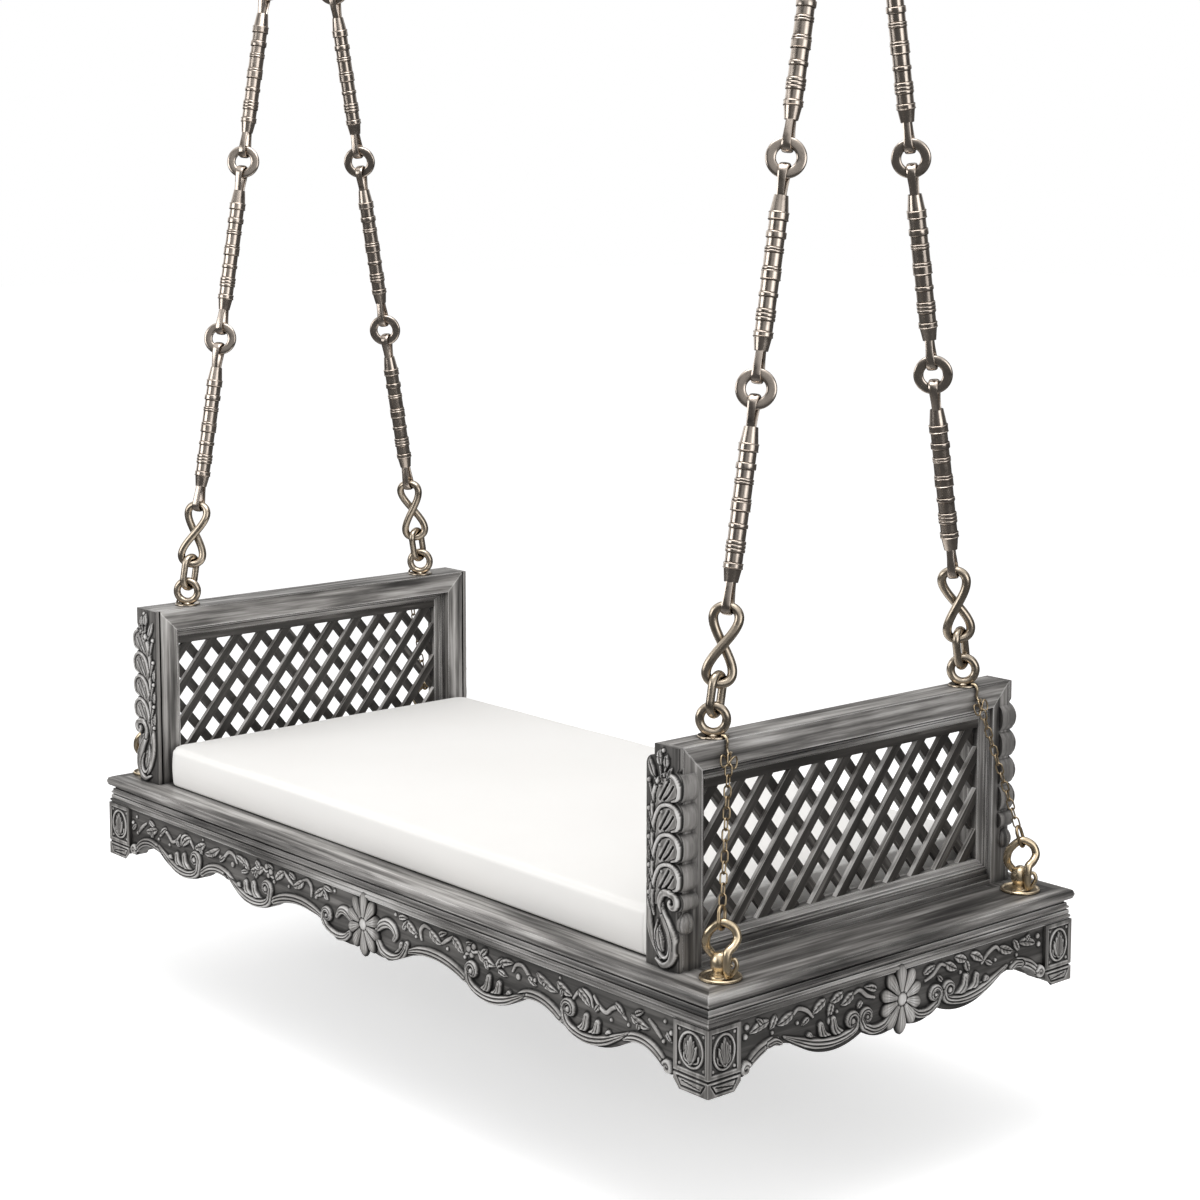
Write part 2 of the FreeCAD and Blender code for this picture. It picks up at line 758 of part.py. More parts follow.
def washer(centre):
    low = washer_radius - washer_wall / 2
    high = washer_radius + washer_wall / 2
    half = washer_thick / 2
    bevel = washer_bevel
    profile = face_of([
        Vector(low + bevel, 0, -half), Vector(high - bevel, 0, -half), Vector(high, 0, bevel - half),
        Vector(high, 0, half - bevel), Vector(high - bevel, 0, half), Vector(low + bevel, 0, half),
        Vector(low, 0, half - bevel), Vector(low, 0, bevel - half),
    ])
    ring = turned(profile.revolve(origin, along_z, 360), along_x, 90)
    return ring.translated(Vector(0, 0, centre))


def master_ring(end):
    ring = turned(ring_bar(master_radius, master_wire), along_z, 90)
    return ring.translated(Vector(sign[end] * hang_x[end], 0, master_z))


def hangers():
    for end in ends:
        def chains(shapes, turn=chain_turn):
            return [place_on_chain(shape, end, side, turn) for side in sides for shape in shapes]

        numbers = range(rod_count)
        oval = long_link(oval_low, oval_bend, oval_wire, oval_length)
        top_link = long_link(top_link_low, top_link_bend, oval_wire, top_link_length)
        rods = [rod(rod_low + number * washer_pitch) for number in numbers]
        washers = [washer(first_washer + number * washer_pitch) for number in numbers]
        save(end + "_oval_links", *chains([oval]))
        save(end + "_figure_eight_links", *chains([eight_link()]))
        save(end + "_turned_rods", *chains(rods))
        save(end + "_washer_rings", *chains(washers))
        save(end + "_top_links", *chains([top_link], top_link_turn))
        save(end + "_master_ring", master_ring(end))
        save(end + "_rail_eyes", *[rail_eye(end, side) for side in sides])


# Ceiling hardware: a plate with a lug, and a bow shackle that swings on a pin through it

def across(x, radius, z):
    """A round bar along X, between the two places in x."""
    return Part.makeCylinder(radius, x[1] - x[0], Vector(x[0], 0, z), along_x)


def ceiling_plate():
    lug = (-lug_thick / 2, lug_thick / 2)
    plate_z = ceiling_z - plate_thick
    plate = box((-plate_width / 2, plate_width / 2), (-plate_length / 2, plate_length / 2), (plate_z, ceiling_z))
    corners = [edge for edge in plate.Edges if abs(edge.tangentAt(edge.FirstParameter).z) > 0.5]
    plate = plate.makeFillet(plate_corner, corners)
    web = box(lug, (-lug_radius, lug_radius), (pin_z, plate_z))
    plate = fuse(plate, web, across(lug, lug_radius, pin_z))
    plate = plate.cut(across((lug[0] - over, lug[1] + over), pin_radius + pin_clearance, pin_z))
    for side in sides:
        hole = Part.makeCylinder(plate_hole, plate_thick + 2 * over,
                                 Vector(0, sign[side] * plate_hole_spacing / 2, plate_z - over))
        plate = plate.cut(hole)
    return plate


def shackle_bow():
    reach = bow_radius + bow_wire + over
    bend = ring_bar(bow_radius, bow_wire).common(box((-reach, reach), (-reach, reach), (-reach, 0)))
    bow = [bend.translated(Vector(0, 0, bow_z))]
    ear = lug_thick / 2 + lug_gap
    for x in (-bow_radius, bow_radius):
        bow.append(Part.makeCylinder(bow_wire, bow_leg, Vector(x, 0, bow_z)))
    for x in ((-bow_radius - bow_wire, -ear), (ear, bow_radius + bow_wire)):
        bow.append(across(x, ear_radius, pin_z))
    bow = fuse(*bow)
    return bow.cut(across((-reach, reach), pin_radius + pin_clearance, pin_z))


def shackle_pin():
    ear = bow_radius + bow_wire + link_gap
    head = ear + pin_head_thick
    return fuse(across((-head, head), pin_radius, pin_z), across((-head, -ear), pin_head, pin_z),
                across((ear, head), pin_head, pin_z))


def ceiling_hardware():
    for end in ends:
        place = Vector(sign[end] * hang_x[end], 0, 0)
        save(end + "_ceiling_plate", ceiling_plate().translated(place))
        save(end + "_shackle_bow", shackle_bow().translated(place))
        save(end + "_shackle_pin", shackle_pin().translated(place))


# Deck hooks: a dished plate with a ball, a ring bent like a question mark that is cast into the
# ball, and a fine safety chain from it up to the plate of the rail eye. Each row of the ring is a
# point in ring radii across, up and ahead of the ball.

ring_shares = [
    (-0.28, 0.18, -0.35), (-0.86, 0.86, -0.30), (-0.96, 1.45, -0.10), (-0.72, 2.12, 0.0),
    (0.04, 2.72, 0.0), (0.82, 2.38, 0.0), (1.06, 1.72, 0.12), (0.80, 1.25, 0.35),
    (0.44, 0.90, 0.70), (0.40, 0.35, 0.80), (0.42, -0.30, 0.78), (0.44, -0.88, 0.72),
]


def hook_place(end, side):
    return Vector(sign[end] * (half_length - shelf[end] / 2), sign[side] * hook_y, 0)


def deck_hook(end, side):
    """The dished plate, the ball and the ring that is cast into it."""
    ball_z = hook_ball_z()
    flat = hook_plate_thick - hook_dish
    profile = face_of([
        Vector(0, 0, 0), Vector(hook_plate, 0, 0), Vector(hook_plate, 0, hook_plate_thick),
        Vector(hook_plate - hook_rim, 0, hook_plate_thick), Vector(hook_plate - 2 * hook_rim, 0, flat),
        Vector(hook_neck, 0, flat), Vector(hook_neck, 0, hook_plate_thick + hook_neck_height / 2),
        Vector(hook_neck - hook_rim, 0, hook_plate_thick + hook_neck_height), Vector(0, 0, ball_z),
    ])
    ball = Part.makeSphere(hook_ball, Vector(0, 0, ball_z))
    base = fuse(profile.revolve(origin, along_z, 360), ball).translated(hook_place(end, side))
    return base.fuse(tube([hook_ring_place(end, side, shares) for shares in ring_shares], hook_wire))


def hook_ball_z():
    return hook_plate_thick + hook_neck_height + hook_ball * ball_seat_share


def hook_ring_place(end, side, shares):
    """A point of the hook's ring, given in ring radii across, up and ahead of the ball."""
    across_ring, up, ahead = shares
    point = Vector(across_ring * hook_ring, -ahead * hook_ring, up * hook_ring + hook_ball_z())
    return Rotation(along_z, chain_turn).multVec(point) + hook_place(end, side)


def chain_hook_points(end, side):
    """The bent hook from the plate of the rail eye, over the rail's edge, to the chain's top."""
    edge = outer_x[end]
    wire = clip_wire
    rim = hang_x[end] + eye_plate_radius
    top = panel_height + wire + link_gap
    path = [
        (rim - 2 * wire, top + eye_plate_thick), (edge, top + eye_plate_thick - wire / 4),
        (edge + 2 * wire, panel_height - wire), (edge + 2 * wire, panel_height - hook_drop + 2 * wire),
        (edge + 4 * wire, panel_height - hook_drop), (edge + 6 * wire, panel_height - hook_drop + 2 * wire),
    ]
    y = sign[side] * eye_y
    return [Vector(sign[end] * x, y, z) for x, z in path]


def safety_link():
    """One link, upright round the origin in the X-Z plane."""
    def loop(inset):
        side = safety_width / 2 - inset
        tip = safety_length / 2 - inset
        corner = safety_length / 2 - safety_width / 2
        return face_of([
            Vector(side, 0, -corner), Vector(side, 0, corner), Vector(0, 0, tip),
            Vector(-side, 0, corner), Vector(-side, 0, -corner), Vector(0, 0, -tip),
        ])

    plate = loop(0).cut(loop(safety_wire)).extrude(Vector(0, safety_wire, 0))
    return plate.translated(Vector(0, -safety_wire / 2, 0))


def safety_chain(end, side):
    """The bent hook, the links and the clip of one chain; the links twist from hook to clip."""
    hook_points = chain_hook_points(end, side)
    top = hook_points[-2]
    crown = hook_ring_place(end, side, ring_shares[ring_top_index])
    down = (crown - top).normalize()
    aim = Rotation(Vector(0, 0, -1), down)
    nest = clip_wire * math.sqrt(2) + 11 * link_gap
    first = safety_length / 2 - safety_wire - nest
    pitch = safety_length - 3 * safety_wire - link_gap
    finish = (crown - top).Length + hook_wire + clip_gap + clip_wire
    count = int((finish - clip_least - 2 * first) / pitch) + 1
    twist = (chain_turn - 90 * count + 90) % 180 - 90
    links = []
    for number in range(count):
        link = turned(safety_link(), along_z, 90 * (number + 1) + twist * number / (count - 1))
        link.Placement = FreeCAD.Placement(top + down * (first + number * pitch), aim).multiply(link.Placement)
        links.append(link)
    start = 2 * first + (count - 1) * pitch
    clip = turned(long_link(-(finish - start), clip_bend, clip_wire, finish - start), along_z, chain_turn)
    clip.Placement = FreeCAD.Placement(top + down * start, aim).multiply(clip.Placement)
    return tube(hook_points, clip_wire), links, clip


def deck_hooks():
    for end in ends:
        chains = [safety_chain(end, side) for side in sides]
        save(end + "_deck_hooks", *[deck_hook(end, side) for side in sides])
        save(end + "_chain_hooks", *[chain[0] for chain in chains])
        save(end + "_safety_chains", *[link for chain in chains for link in chain[1]])
        save(end + "_chain_clips", *[chain[2] for chain in chains])


os.makedirs("parts", exist_ok=True)
deck()
deck_moulding()
deck_battens()
corner_blocks()
aprons()
rosettes()
end_panels()
mattress()
hangers()
ceiling_hardware()
deck_hooks()
print("ceiling above the deck", round(ceiling_z, 1), "chain tilt", round(chain_tilt, 3))
print("upper pivot", round(master_z + master_radius - ceiling_z, 3), "lower pivot", round(pivot_z - ceiling_z, 3),
      "shackle pin", round(pin_z - ceiling_z, 3))
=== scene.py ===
"""A carved jhoola: grey-washed wood, a white mattress and chains of turned metal rods.

Sizes are in millimetres in the deck's frame: x and y run from the middle of the deck and z
from its top. place() and to_frame() turn them into the row's frame, in metres.
"""

import json
import math

import bmesh
import bpy
import numpy as np
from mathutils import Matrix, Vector


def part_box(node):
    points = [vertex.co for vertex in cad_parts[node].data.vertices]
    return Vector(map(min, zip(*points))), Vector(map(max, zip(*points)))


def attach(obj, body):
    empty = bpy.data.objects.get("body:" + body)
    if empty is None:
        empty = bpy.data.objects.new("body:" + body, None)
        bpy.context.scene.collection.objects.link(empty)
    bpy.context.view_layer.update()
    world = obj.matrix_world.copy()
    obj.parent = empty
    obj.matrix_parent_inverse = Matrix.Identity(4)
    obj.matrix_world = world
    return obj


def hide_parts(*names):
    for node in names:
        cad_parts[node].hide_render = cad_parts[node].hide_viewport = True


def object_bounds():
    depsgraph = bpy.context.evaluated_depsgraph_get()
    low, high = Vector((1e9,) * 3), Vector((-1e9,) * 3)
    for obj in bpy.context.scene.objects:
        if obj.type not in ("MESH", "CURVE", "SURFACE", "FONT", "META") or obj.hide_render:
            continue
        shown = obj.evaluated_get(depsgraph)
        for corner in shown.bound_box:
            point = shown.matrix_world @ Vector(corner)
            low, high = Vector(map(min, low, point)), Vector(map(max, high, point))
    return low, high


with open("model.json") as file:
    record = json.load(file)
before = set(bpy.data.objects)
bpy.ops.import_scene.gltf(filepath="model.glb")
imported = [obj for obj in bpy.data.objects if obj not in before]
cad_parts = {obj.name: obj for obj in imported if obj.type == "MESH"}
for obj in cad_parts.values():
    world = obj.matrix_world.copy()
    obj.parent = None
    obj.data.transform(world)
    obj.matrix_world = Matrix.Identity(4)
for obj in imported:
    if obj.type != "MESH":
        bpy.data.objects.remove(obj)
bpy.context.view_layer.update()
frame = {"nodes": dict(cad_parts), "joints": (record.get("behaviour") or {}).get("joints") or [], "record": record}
MM = 0.001
TAU = 2 * math.pi
ends = ("left", "right")
sides = ("front", "back")
sign = {"left": -1, "right": 1, "front": -1, "back": 1}
joints = {joint["name"]: joint for joint in frame["joints"]}

# The deck's frame and the heights and reaches that the solids give
deck_low, deck_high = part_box("deck_border_boards")
middle_x = (deck_low.x + deck_high.x) / 2
deck_z = deck_high.z


def reach(value):
    """A height in the row's frame, in metres, as millimetres above the deck."""
    return (value - deck_z) / MM


half_length = (deck_high.x - deck_low.x) / 2 / MM
half_width = deck_high.y / MM
apron_top = reach(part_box("front_apron")[1].z)
apron_thick, apron_inset, apron_step = 22.0, 10.0, 1.5
front_face = half_width - apron_inset
end_face = half_length - apron_inset
block_low, block_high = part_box("front_right_corner_block")
block_bottom = reach(block_low.z)
block_x = ((block_low.x - middle_x) / MM, (block_high.x - middle_x) / MM)
block_y = (block_low.y / MM, block_high.y / MM)
hang_x = {"left": (middle_x - joints["sway"]["pos_m"][0]) / MM,
          "right": (joints["sway_right"]["pos_m"][0] - middle_x) / MM}
pivot_z = reach(joints["sway_bed"]["pos_m"][2])
ring_low, ring_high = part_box("right_master_ring")
master_z = reach((ring_low.z + ring_high.z) / 2)


def place(x, y, z):
    return Vector((middle_x + x * MM, y * MM, deck_z + z * MM))


def to_frame(points):
    """Rows of x, y, z in the deck's frame as rows in the row's frame, in metres."""
    return np.asarray(points, float) * MM + np.array([middle_x, 0.0, deck_z])


# Materials

class Graph:
    """The nodes of a material, or of the world, under construction."""

    def __init__(self, owner):
        owner.use_nodes = True
        self.owner, self.tree = owner, owner.node_tree
        self.surface = self.tree.nodes.get("Principled BSDF")

    def add(self, kind, inputs=None, **settings):
        made = self.tree.nodes.new("ShaderNode" + kind)
        for key, value in settings.items():
            setattr(made, key, value)
        for key, value in (inputs or {}).items():
            self.set(made.inputs[key], value)
        return made

    def set(self, socket, value):
        if isinstance(value, bpy.types.NodeSocket):
            self.tree.links.new(value, socket)
        else:
            socket.default_value = value

    def paint(self, **inputs):
        """Sets the surface's inputs; Base_Color stands for Base Color."""
        for key, value in inputs.items():
            self.set(self.surface.inputs[key.replace("_", " ")], value)

    def coordinates(self, scale, turn=(0, 0, 0)):
        """Object coordinates, turned and then scaled."""
        source = self.add("TexCoord").outputs["Object"]
        if any(turn):
            source = self.add("Mapping", {"Vector": source, "Rotation": turn}).outputs[0]
        return self.add("Mapping", {"Vector": source, "Scale": scale}).outputs[0]

    def noise(self, scale, detail=4.0, rough=0.5, turn=(0, 0, 0)):
        return self.add("TexNoise", {"Vector": self.coordinates(scale, turn), "Scale": 1.0,
                                     "Detail": detail, "Roughness": rough}).outputs["Fac"]

    def math(self, operation, first, second=0.0, clamp=False):
        made = self.add("Math", {0: first, 1: second}, operation=operation, use_clamp=clamp)
        return made.outputs[0]

    def sum(self, first, *others):
        for other in others:
            first = self.math("ADD", first, other)
        return first

    def times(self, first, second, clamp=False):
        return self.math("MULTIPLY", first, second, clamp)

    def fit(self, value, low, high, to_low=0.0, to_high=1.0):
        """Maps low..high to to_low..to_high, and holds the ends."""
        return self.add("MapRange", {"Value": value, "From Min": low, "From Max": high,
                                     "To Min": to_low, "To Max": to_high}).outputs[0]

    def choose(self, share, first, second):
        return self.add("Mix", {0: share, 2: first, 3: second}).outputs[0]

    def openness(self, distance):
        """1 in the open and less in a hollow."""
        made = self.add("AmbientOcclusion", {"Distance": distance}, samples=6)
        return made.outputs["AO"]

    def dot(self, first, second):
        return self.add("VectorMath", {0: first, 1: second},
                        operation="DOT_PRODUCT").outputs["Value"]

    def ramp(self, value, stops):
        made = self.add("ValToRGB", {"Fac": value})
        stripe = made.color_ramp
        while len(stripe.elements) < len(stops):
            stripe.elements.new(0.5)
        for element, (position, colour) in zip(stripe.elements, stops):
            element.position = position
            element.color = (*colour, 1.0)
        return made.outputs["Color"]

    def mix(self, share, first, second, blend="MIX"):
        made = self.add("Mix", data_type="RGBA", blend_type=blend)
        for number, value in ((0, share), (6, first), (7, second)):
            self.set(made.inputs[number], value)
        return made.outputs[2]

    def bump(self, height, strength, distance):
        made = self.add("Bump", {"Height": height, "Strength": strength, "Distance": distance})
        self.paint(Normal=made.outputs["Normal"])


def new_material(name):
    return Graph(bpy.data.materials.new(name))


def greys(*stops):
    """Ramp stops from (place, grey, warmth) rows."""
    return [(at, (value * (1 + warmth), value, value * (1 - warmth)))
            for at, value, warmth in stops]


# Ramps from a hollow in painted shade up to a worn edge with a painted highlight, and the cotton's two whites
wash = greys((0.05, 0.013, 0.08), (0.26, 0.055, 0.06), (0.44, 0.142, 0.05),
             (0.58, 0.255, 0.045), (0.74, 0.43, 0.035), (0.95, 0.68, 0.02))
stain = greys((0.20, 0.010, 0.14), (0.42, 0.022, 0.12), (0.60, 0.046, 0.10),
              (0.80, 0.25, 0.06), (1.0, 0.58, 0.03))
whites = ((0.25, (0.835, 0.82, 0.795)), (0.70, (0.86, 0.847, 0.825)))

# A board's streaks, pores and patches of wash: scale along and across the grain, detail, roughness
grain = ((3.2, 84.0, 6.0, 0.60), (22.0, 620.0, 3.0, 0.55), (2.6, 17.0, 3.0, 0.55))
thread_pitch = 0.0011

# What a field adds to a board's tone, which lies round a half, and what an edge adds as wear and
# a painted highlight; then the carved boards' own spread and middle, and what their hollows
# (painted shade), edges (wear and a painted highlight), ground and tops add
streak_gain, patch_gain, pore_fall, edge_wear_and_highlight, edge_radius = 1.55, 1.05, 0.08, 0.40, 0.0034
carved_gain, carved_middle = 0.50, 0.41
hollow_tone, ridge_tone, ground_tone, top_tone = -0.36, 0.40, -0.12, 0.05
# How far the wood's painted shade in corners and hollows reaches and the least share of the colour it leaves; then
# how far the metal's patina reaches into its hollows
shade_reach, shade_least, patina_reach = 0.016, 0.16, 0.010


def grain_fields(graph, axis, turn=(0, 0, 0)):
    return [graph.noise(tuple(lengthwise if number == axis else across for number in range(3)),
                        detail, rough, turn) for lengthwise, across, detail, rough in grain]


def spread(graph, field, gain):
    """A field that lies round a half, pulled apart from its middle."""
    return graph.times(graph.math("SUBTRACT", field, 0.5), gain)


def facing_of(graph, radius):
    """How far the rounded edge normal turns from the face: 1 on a flat face, less near an edge."""
    edge = graph.add("Bevel", {"Radius": radius}, samples=4).outputs[0]
    return graph.dot(edge, graph.add("NewGeometry").outputs["Normal"])


def end_board(graph):
    """1 where a mitred frame's end boards are, 0 on its long boards."""
    position = graph.add("SeparateXYZ", {0: graph.add("TexCoord").outputs["Object"]})
    out_x = graph.math("ABSOLUTE", graph.math("SUBTRACT", position.outputs[0], middle_x))
    from_end = graph.math("SUBTRACT", half_length * MM, out_x)
    out_y = graph.math("ABSOLUTE", position.outputs[1])
    return graph.math("LESS_THAN", from_end, graph.math("SUBTRACT", half_width * MM, out_y))


def wood(name, axis=0, other=None, carved=False):
    """Grey-washed wood; other is a second grain axis for the ends of a mitred frame."""
    graph = new_material(name)
    fields = grain_fields(graph, axis)
    if other is not None:
        at_end = end_board(graph)
        fields = [graph.choose(at_end, *pair) for pair in zip(fields, grain_fields(graph, other))]
    streak, pore, patch = fields
    tone = graph.sum(0.5, spread(graph, streak, streak_gain), spread(graph, patch, patch_gain))
    tone = graph.math("SUBTRACT", tone, graph.fit(pore, 0.58, 0.75, 0.0, pore_fall))
    if carved:
        # Carved boards: the field of height over the surroundings paints shade into the hollows and lightens the
        # crests, partly as wear and partly as a painted highlight; the rise field makes the low ground darker and
        # the high relief lighter
        wear_and_shade, rise = (graph.add("Attribute", attribute_name=key).outputs["Fac"]
                      for key in ("wear_and_shade", "rise"))
        tone = graph.sum(spread(graph, tone, carved_gain), carved_middle,
                         graph.fit(wear_and_shade, 0.1, 0.9, hollow_tone, ridge_tone),
                         graph.fit(rise, 0.0, 0.5, ground_tone, top_tone))
    else:
        # Edges lighter: partly wear, partly a painted highlight along the rounded edge, more where the grain is
        # light
        worn_and_highlit = graph.times(graph.fit(facing_of(graph, edge_radius), 0.99, 0.84),
                           graph.fit(streak, 0.32, 0.55, 0.5, 1.0))
        tone = graph.sum(tone, graph.times(worn_and_highlit, edge_wear_and_highlight))
    # Painted shade: the colour is darkened where ambient occlusion finds corners, hollows and the gaps between
    # parts
    painted_shade = graph.fit(graph.openness(shade_reach), 0.38, 0.92, shade_least, 1.0)
    shade = graph.add("CombineColor", {0: painted_shade, 1: painted_shade, 2: painted_shade}).outputs[0]
    graph.paint(Base_Color=graph.mix(1.0, graph.ramp(tone, wash), shade, "MULTIPLY"),
                Roughness=graph.fit(tone, 0.2, 0.8, 0.56, 0.30))
    graph.bump(graph.sum(streak, graph.times(pore, 0.5)), 0.30, 0.0008)
    return graph.owner


def lattice_wood(name, turn):
    """Dark stained slats, with the grain along the slat; their edges paler, partly worn and partly a painted
    highlight, and their upward faces painted lighter as if lit from above.
    """
    graph = new_material(name)
    streak, pore, patch = grain_fields(graph, 1, turn)
    local = graph.add("SeparateXYZ", {0: graph.add("TexCoord").outputs["Normal"]})
    # Painted light: faces that point up are made lighter, as light from above would make them
    painted_top_light = graph.times(graph.fit(local.outputs[2], 0.35, 0.60),
                         graph.fit(streak, 0.30, 0.60, 0.55, 1.0))
    # The tone adds a lighter rim on every edge, partly wear and partly a painted highlight, and the painted light
    # on upward faces
    tone = graph.sum(0.5, spread(graph, streak, 0.9), spread(graph, patch, 0.5),
                     graph.fit(facing_of(graph, 0.0018), 0.99, 0.82, 0.0, 0.16),
                     graph.times(painted_top_light, 0.42))
    graph.paint(Base_Color=graph.ramp(tone, stain), Roughness=graph.fit(pore, 0.3, 0.7, 0.36, 0.52))
    graph.bump(streak, 0.3, 0.0006)
    return graph.owner


def metal(name, bright, dark, roughness):
    """Worn metal: the colour falls to dark in the hollows, with fine scratches and a few stains."""
    graph = new_material(name)
    cloud = graph.noise((55.0, 55.0, 55.0), 4.0, 0.55)
    clean = graph.times(graph.fit(graph.openness(patina_reach), 0.20, 0.80),
                        graph.fit(cloud, 0.28, 0.44, 0.62, 1.0), True)
    graph.paint(Base_Color=graph.mix(clean, (*dark, 1.0), (*bright, 1.0)), Metallic=1.0,
                Roughness=graph.fit(cloud, 0.3, 0.7, roughness * 0.85, roughness * 1.3))
    graph.bump(graph.noise((300.0, 300.0, 300.0), 3.0), 0.07, 0.0003)
    return graph.owner


def cotton(name):
    """White cotton with a fine plain weave."""
    graph = new_material(name)
    position = graph.add("SeparateXYZ", {0: graph.coordinates((1.0, 1.0, 1.0))})
    waves = [graph.math("SINE", graph.times(position.outputs[axis], TAU / thread_pitch))
             for axis in (0, 1)]
    thread = graph.times(*waves)
    cloud = graph.noise((3.0, 3.0, 3.0), 3.0)
    graph.paint(Base_Color=graph.ramp(graph.sum(cloud, graph.times(thread, 0.03)), whites),
                Roughness=0.85, Sheen_Weight=0.12, Sheen_Roughness=0.6)
    nap = graph.times(graph.noise((420.0, 420.0, 420.0), 2.0), 0.8)
    graph.bump(graph.sum(thread, nap), 0.16, 0.0003)
    return graph.owner


wood_x, wood_y, wood_z = (wood("wood_" + name, axis) for axis, name in
                          enumerate(("along_x", "along_y", "upright")))
carved_x, carved_y, carved_z = (wood("carved_" + name, axis, carved=True) for axis, name in
                                enumerate(("along_x", "along_y", "upright")))
wood_mitred = wood("wood_mitred", 0, other=1)
lattice_lean = math.atan2(74.0, 61.5)
rising_slats = lattice_wood("slats_rising", (-lattice_lean, 0, 0))
falling_slats = lattice_wood("slats_falling", (lattice_lean, 0, 0))
header_wood = lattice_wood("lattice_header", (0, 0, 0))
nickel = metal("warm_nickel", (0.57, 0.495, 0.43), (0.05, 0.038, 0.03), 0.20)
bronze = metal("antique_bronze", (0.51, 0.435, 0.345), (0.05, 0.036, 0.024), 0.24)
brass = metal("bright_brass", (0.70, 0.575, 0.40), (0.09, 0.06, 0.03), 0.26)
old_brass = metal("old_brass", (0.50, 0.39, 0.25), (0.05, 0.035, 0.02), 0.28)
steel = metal("ceiling_steel", (0.50, 0.46, 0.41), (0.06, 0.05, 0.045), 0.26)
white_cotton = cotton("white_cotton")


# The stage: a white floor and backdrop that keep the object's shadow, soft light, the camera

# Soft boxes: azimuth and height in degrees, the cosine at the rim, its softness, the strength
soft_boxes = ((-6, 8, 0.95, 0.03, 1.35), (172, 10, 0.90, 0.04, 1.05), (-42, 20, 0.93, 0.05, 0.34),
              (-150, 30, 0.93, 0.05, 0.55), (-30, 82, 0.62, 0.12, 0.95), (95, 15, 0.97, 0.02, 0.6))
room_glow, room_white, stage_dark, stage_lift = 0.10, 0.62, 0.42, 0.47
pool_near, pool_far = 2.4, 3.6
floor_half, floor_drop = 30.0, 0.26

# Lamps: place, what each faces, size in metres, power
lamps = {
    "overhead": ((620, -500, 3300), (100, 0, 0), (2.6, 2.4), 42),
    "over_bed": ((500, -300, 2500), (-830, 0, 150), (1.2, 1.2), 12),
    "from_front": ((-1300, -3600, 1500), (0, 0, 100), (2.6, 2.0), 44),
    "from_right": ((3900, 300, 1300), (0, 0, 100), (2.2, 1.8), 14),
}
camera_at, camera_pitch, camera_turn = (3538.33, -2920.18, 1246.28), -6.42, 49.25
camera_lens, camera_sensor, camera_rise = 73.30, 36.0, -0.125


def studio(graph, direction):
    """What reflections see in each direction: soft boxes, one overhead, in a dim grey room."""
    glow = room_glow
    for azimuth, height, rim, soft, strength in soft_boxes:
        turn, lift = math.radians(azimuth), math.radians(height)
        at = (math.cos(lift) * math.cos(turn), math.cos(lift) * math.sin(turn), math.sin(lift))
        facing = graph.dot(direction, at)
        glow = graph.sum(glow, graph.fit(facing, rim - soft, rim + soft, 0.0, strength))
    return glow


def stage_material():
    """White to the camera and matte to light; reflections see a pool of light in a dim room."""
    graph = new_material("stage_white")
    white = (1, 1, 1, 1)
    paths = graph.add("LightPath").outputs
    position = graph.add("NewGeometry").outputs["Position"]
    away = graph.add("VectorMath", {0: position}, operation="LENGTH").outputs["Value"]
    direction = graph.add("VectorMath", {0: position}, operation="NORMALIZE").outputs["Vector"]
    room = graph.choose(graph.fit(away, pool_near, pool_far), stage_dark, studio(graph, direction))
    room = graph.math("MAXIMUM", room, paths["Is Transmission Ray"])
    seen = graph.math("MAXIMUM", paths["Is Glossy Ray"], paths["Is Transmission Ray"])
    glow = graph.add("Emission", {"Color": white, "Strength": room}).outputs[0]
    matte = graph.add("BsdfDiffuse", {"Color": (0.92, 0.92, 0.92, 1)}).outputs[0]
    to_camera = graph.times(paths["Is Camera Ray"], stage_lift)
    lift = graph.add("Emission", {"Color": white, "Strength": to_camera}).outputs[0]
    lifted = graph.add("AddShader", {0: matte, 1: lift}).outputs[0]
    mixed = graph.add("MixShader", {0: seen, 1: lifted, 2: glow}).outputs[0]
    graph.set(graph.tree.nodes["Material Output"].inputs["Surface"], mixed)
    return graph.owner


def make_floor():
    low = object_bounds()[0].z - floor_drop
    mesh = bpy.data.meshes.new("floor")
    mesh.from_pydata([(x * floor_half, y * floor_half, low)
                      for x, y in ((-1, -1), (1, -1), (1, 1), (-1, 1))], [], [(0, 1, 2, 3)])
    floor = bpy.data.objects.new("floor", mesh)
    bpy.context.scene.collection.objects.link(floor)
    mesh.materials.append(stage_material())


def make_world():
    """White to the camera and through glass; reflections see the soft boxes."""
    world = bpy.data.worlds.new("studio")
    bpy.context.scene.world = world
    graph = Graph(world)
    paths = graph.add("LightPath").outputs
    glow = studio(graph, graph.add("TexCoord").outputs["Generated"])
    white = graph.math("MAXIMUM", paths["Is Camera Ray"], paths["Is Transmission Ray"])
    room = graph.choose(paths["Is Glossy Ray"], room_white, glow)
    background = graph.tree.nodes["Background"]
    graph.set(background.inputs["Strength"], graph.choose(white, room, 1.0))
    background.inputs["Color"].default_value = (1, 1, 1, 1)


def area_light(name, at, towards, size, power):
    data = bpy.data.lights.new(name, "AREA")
    data.shape = "RECTANGLE"
    data.size, data.size_y = size
    data.energy = power
    lamp = bpy.data.objects.new(name, data)
    lamp.location = place(*at)
    aim = place(*towards) - lamp.location
    lamp.rotation_euler = aim.to_track_quat("-Z", "Y").to_euler()
    bpy.context.scene.collection.objects.link(lamp)


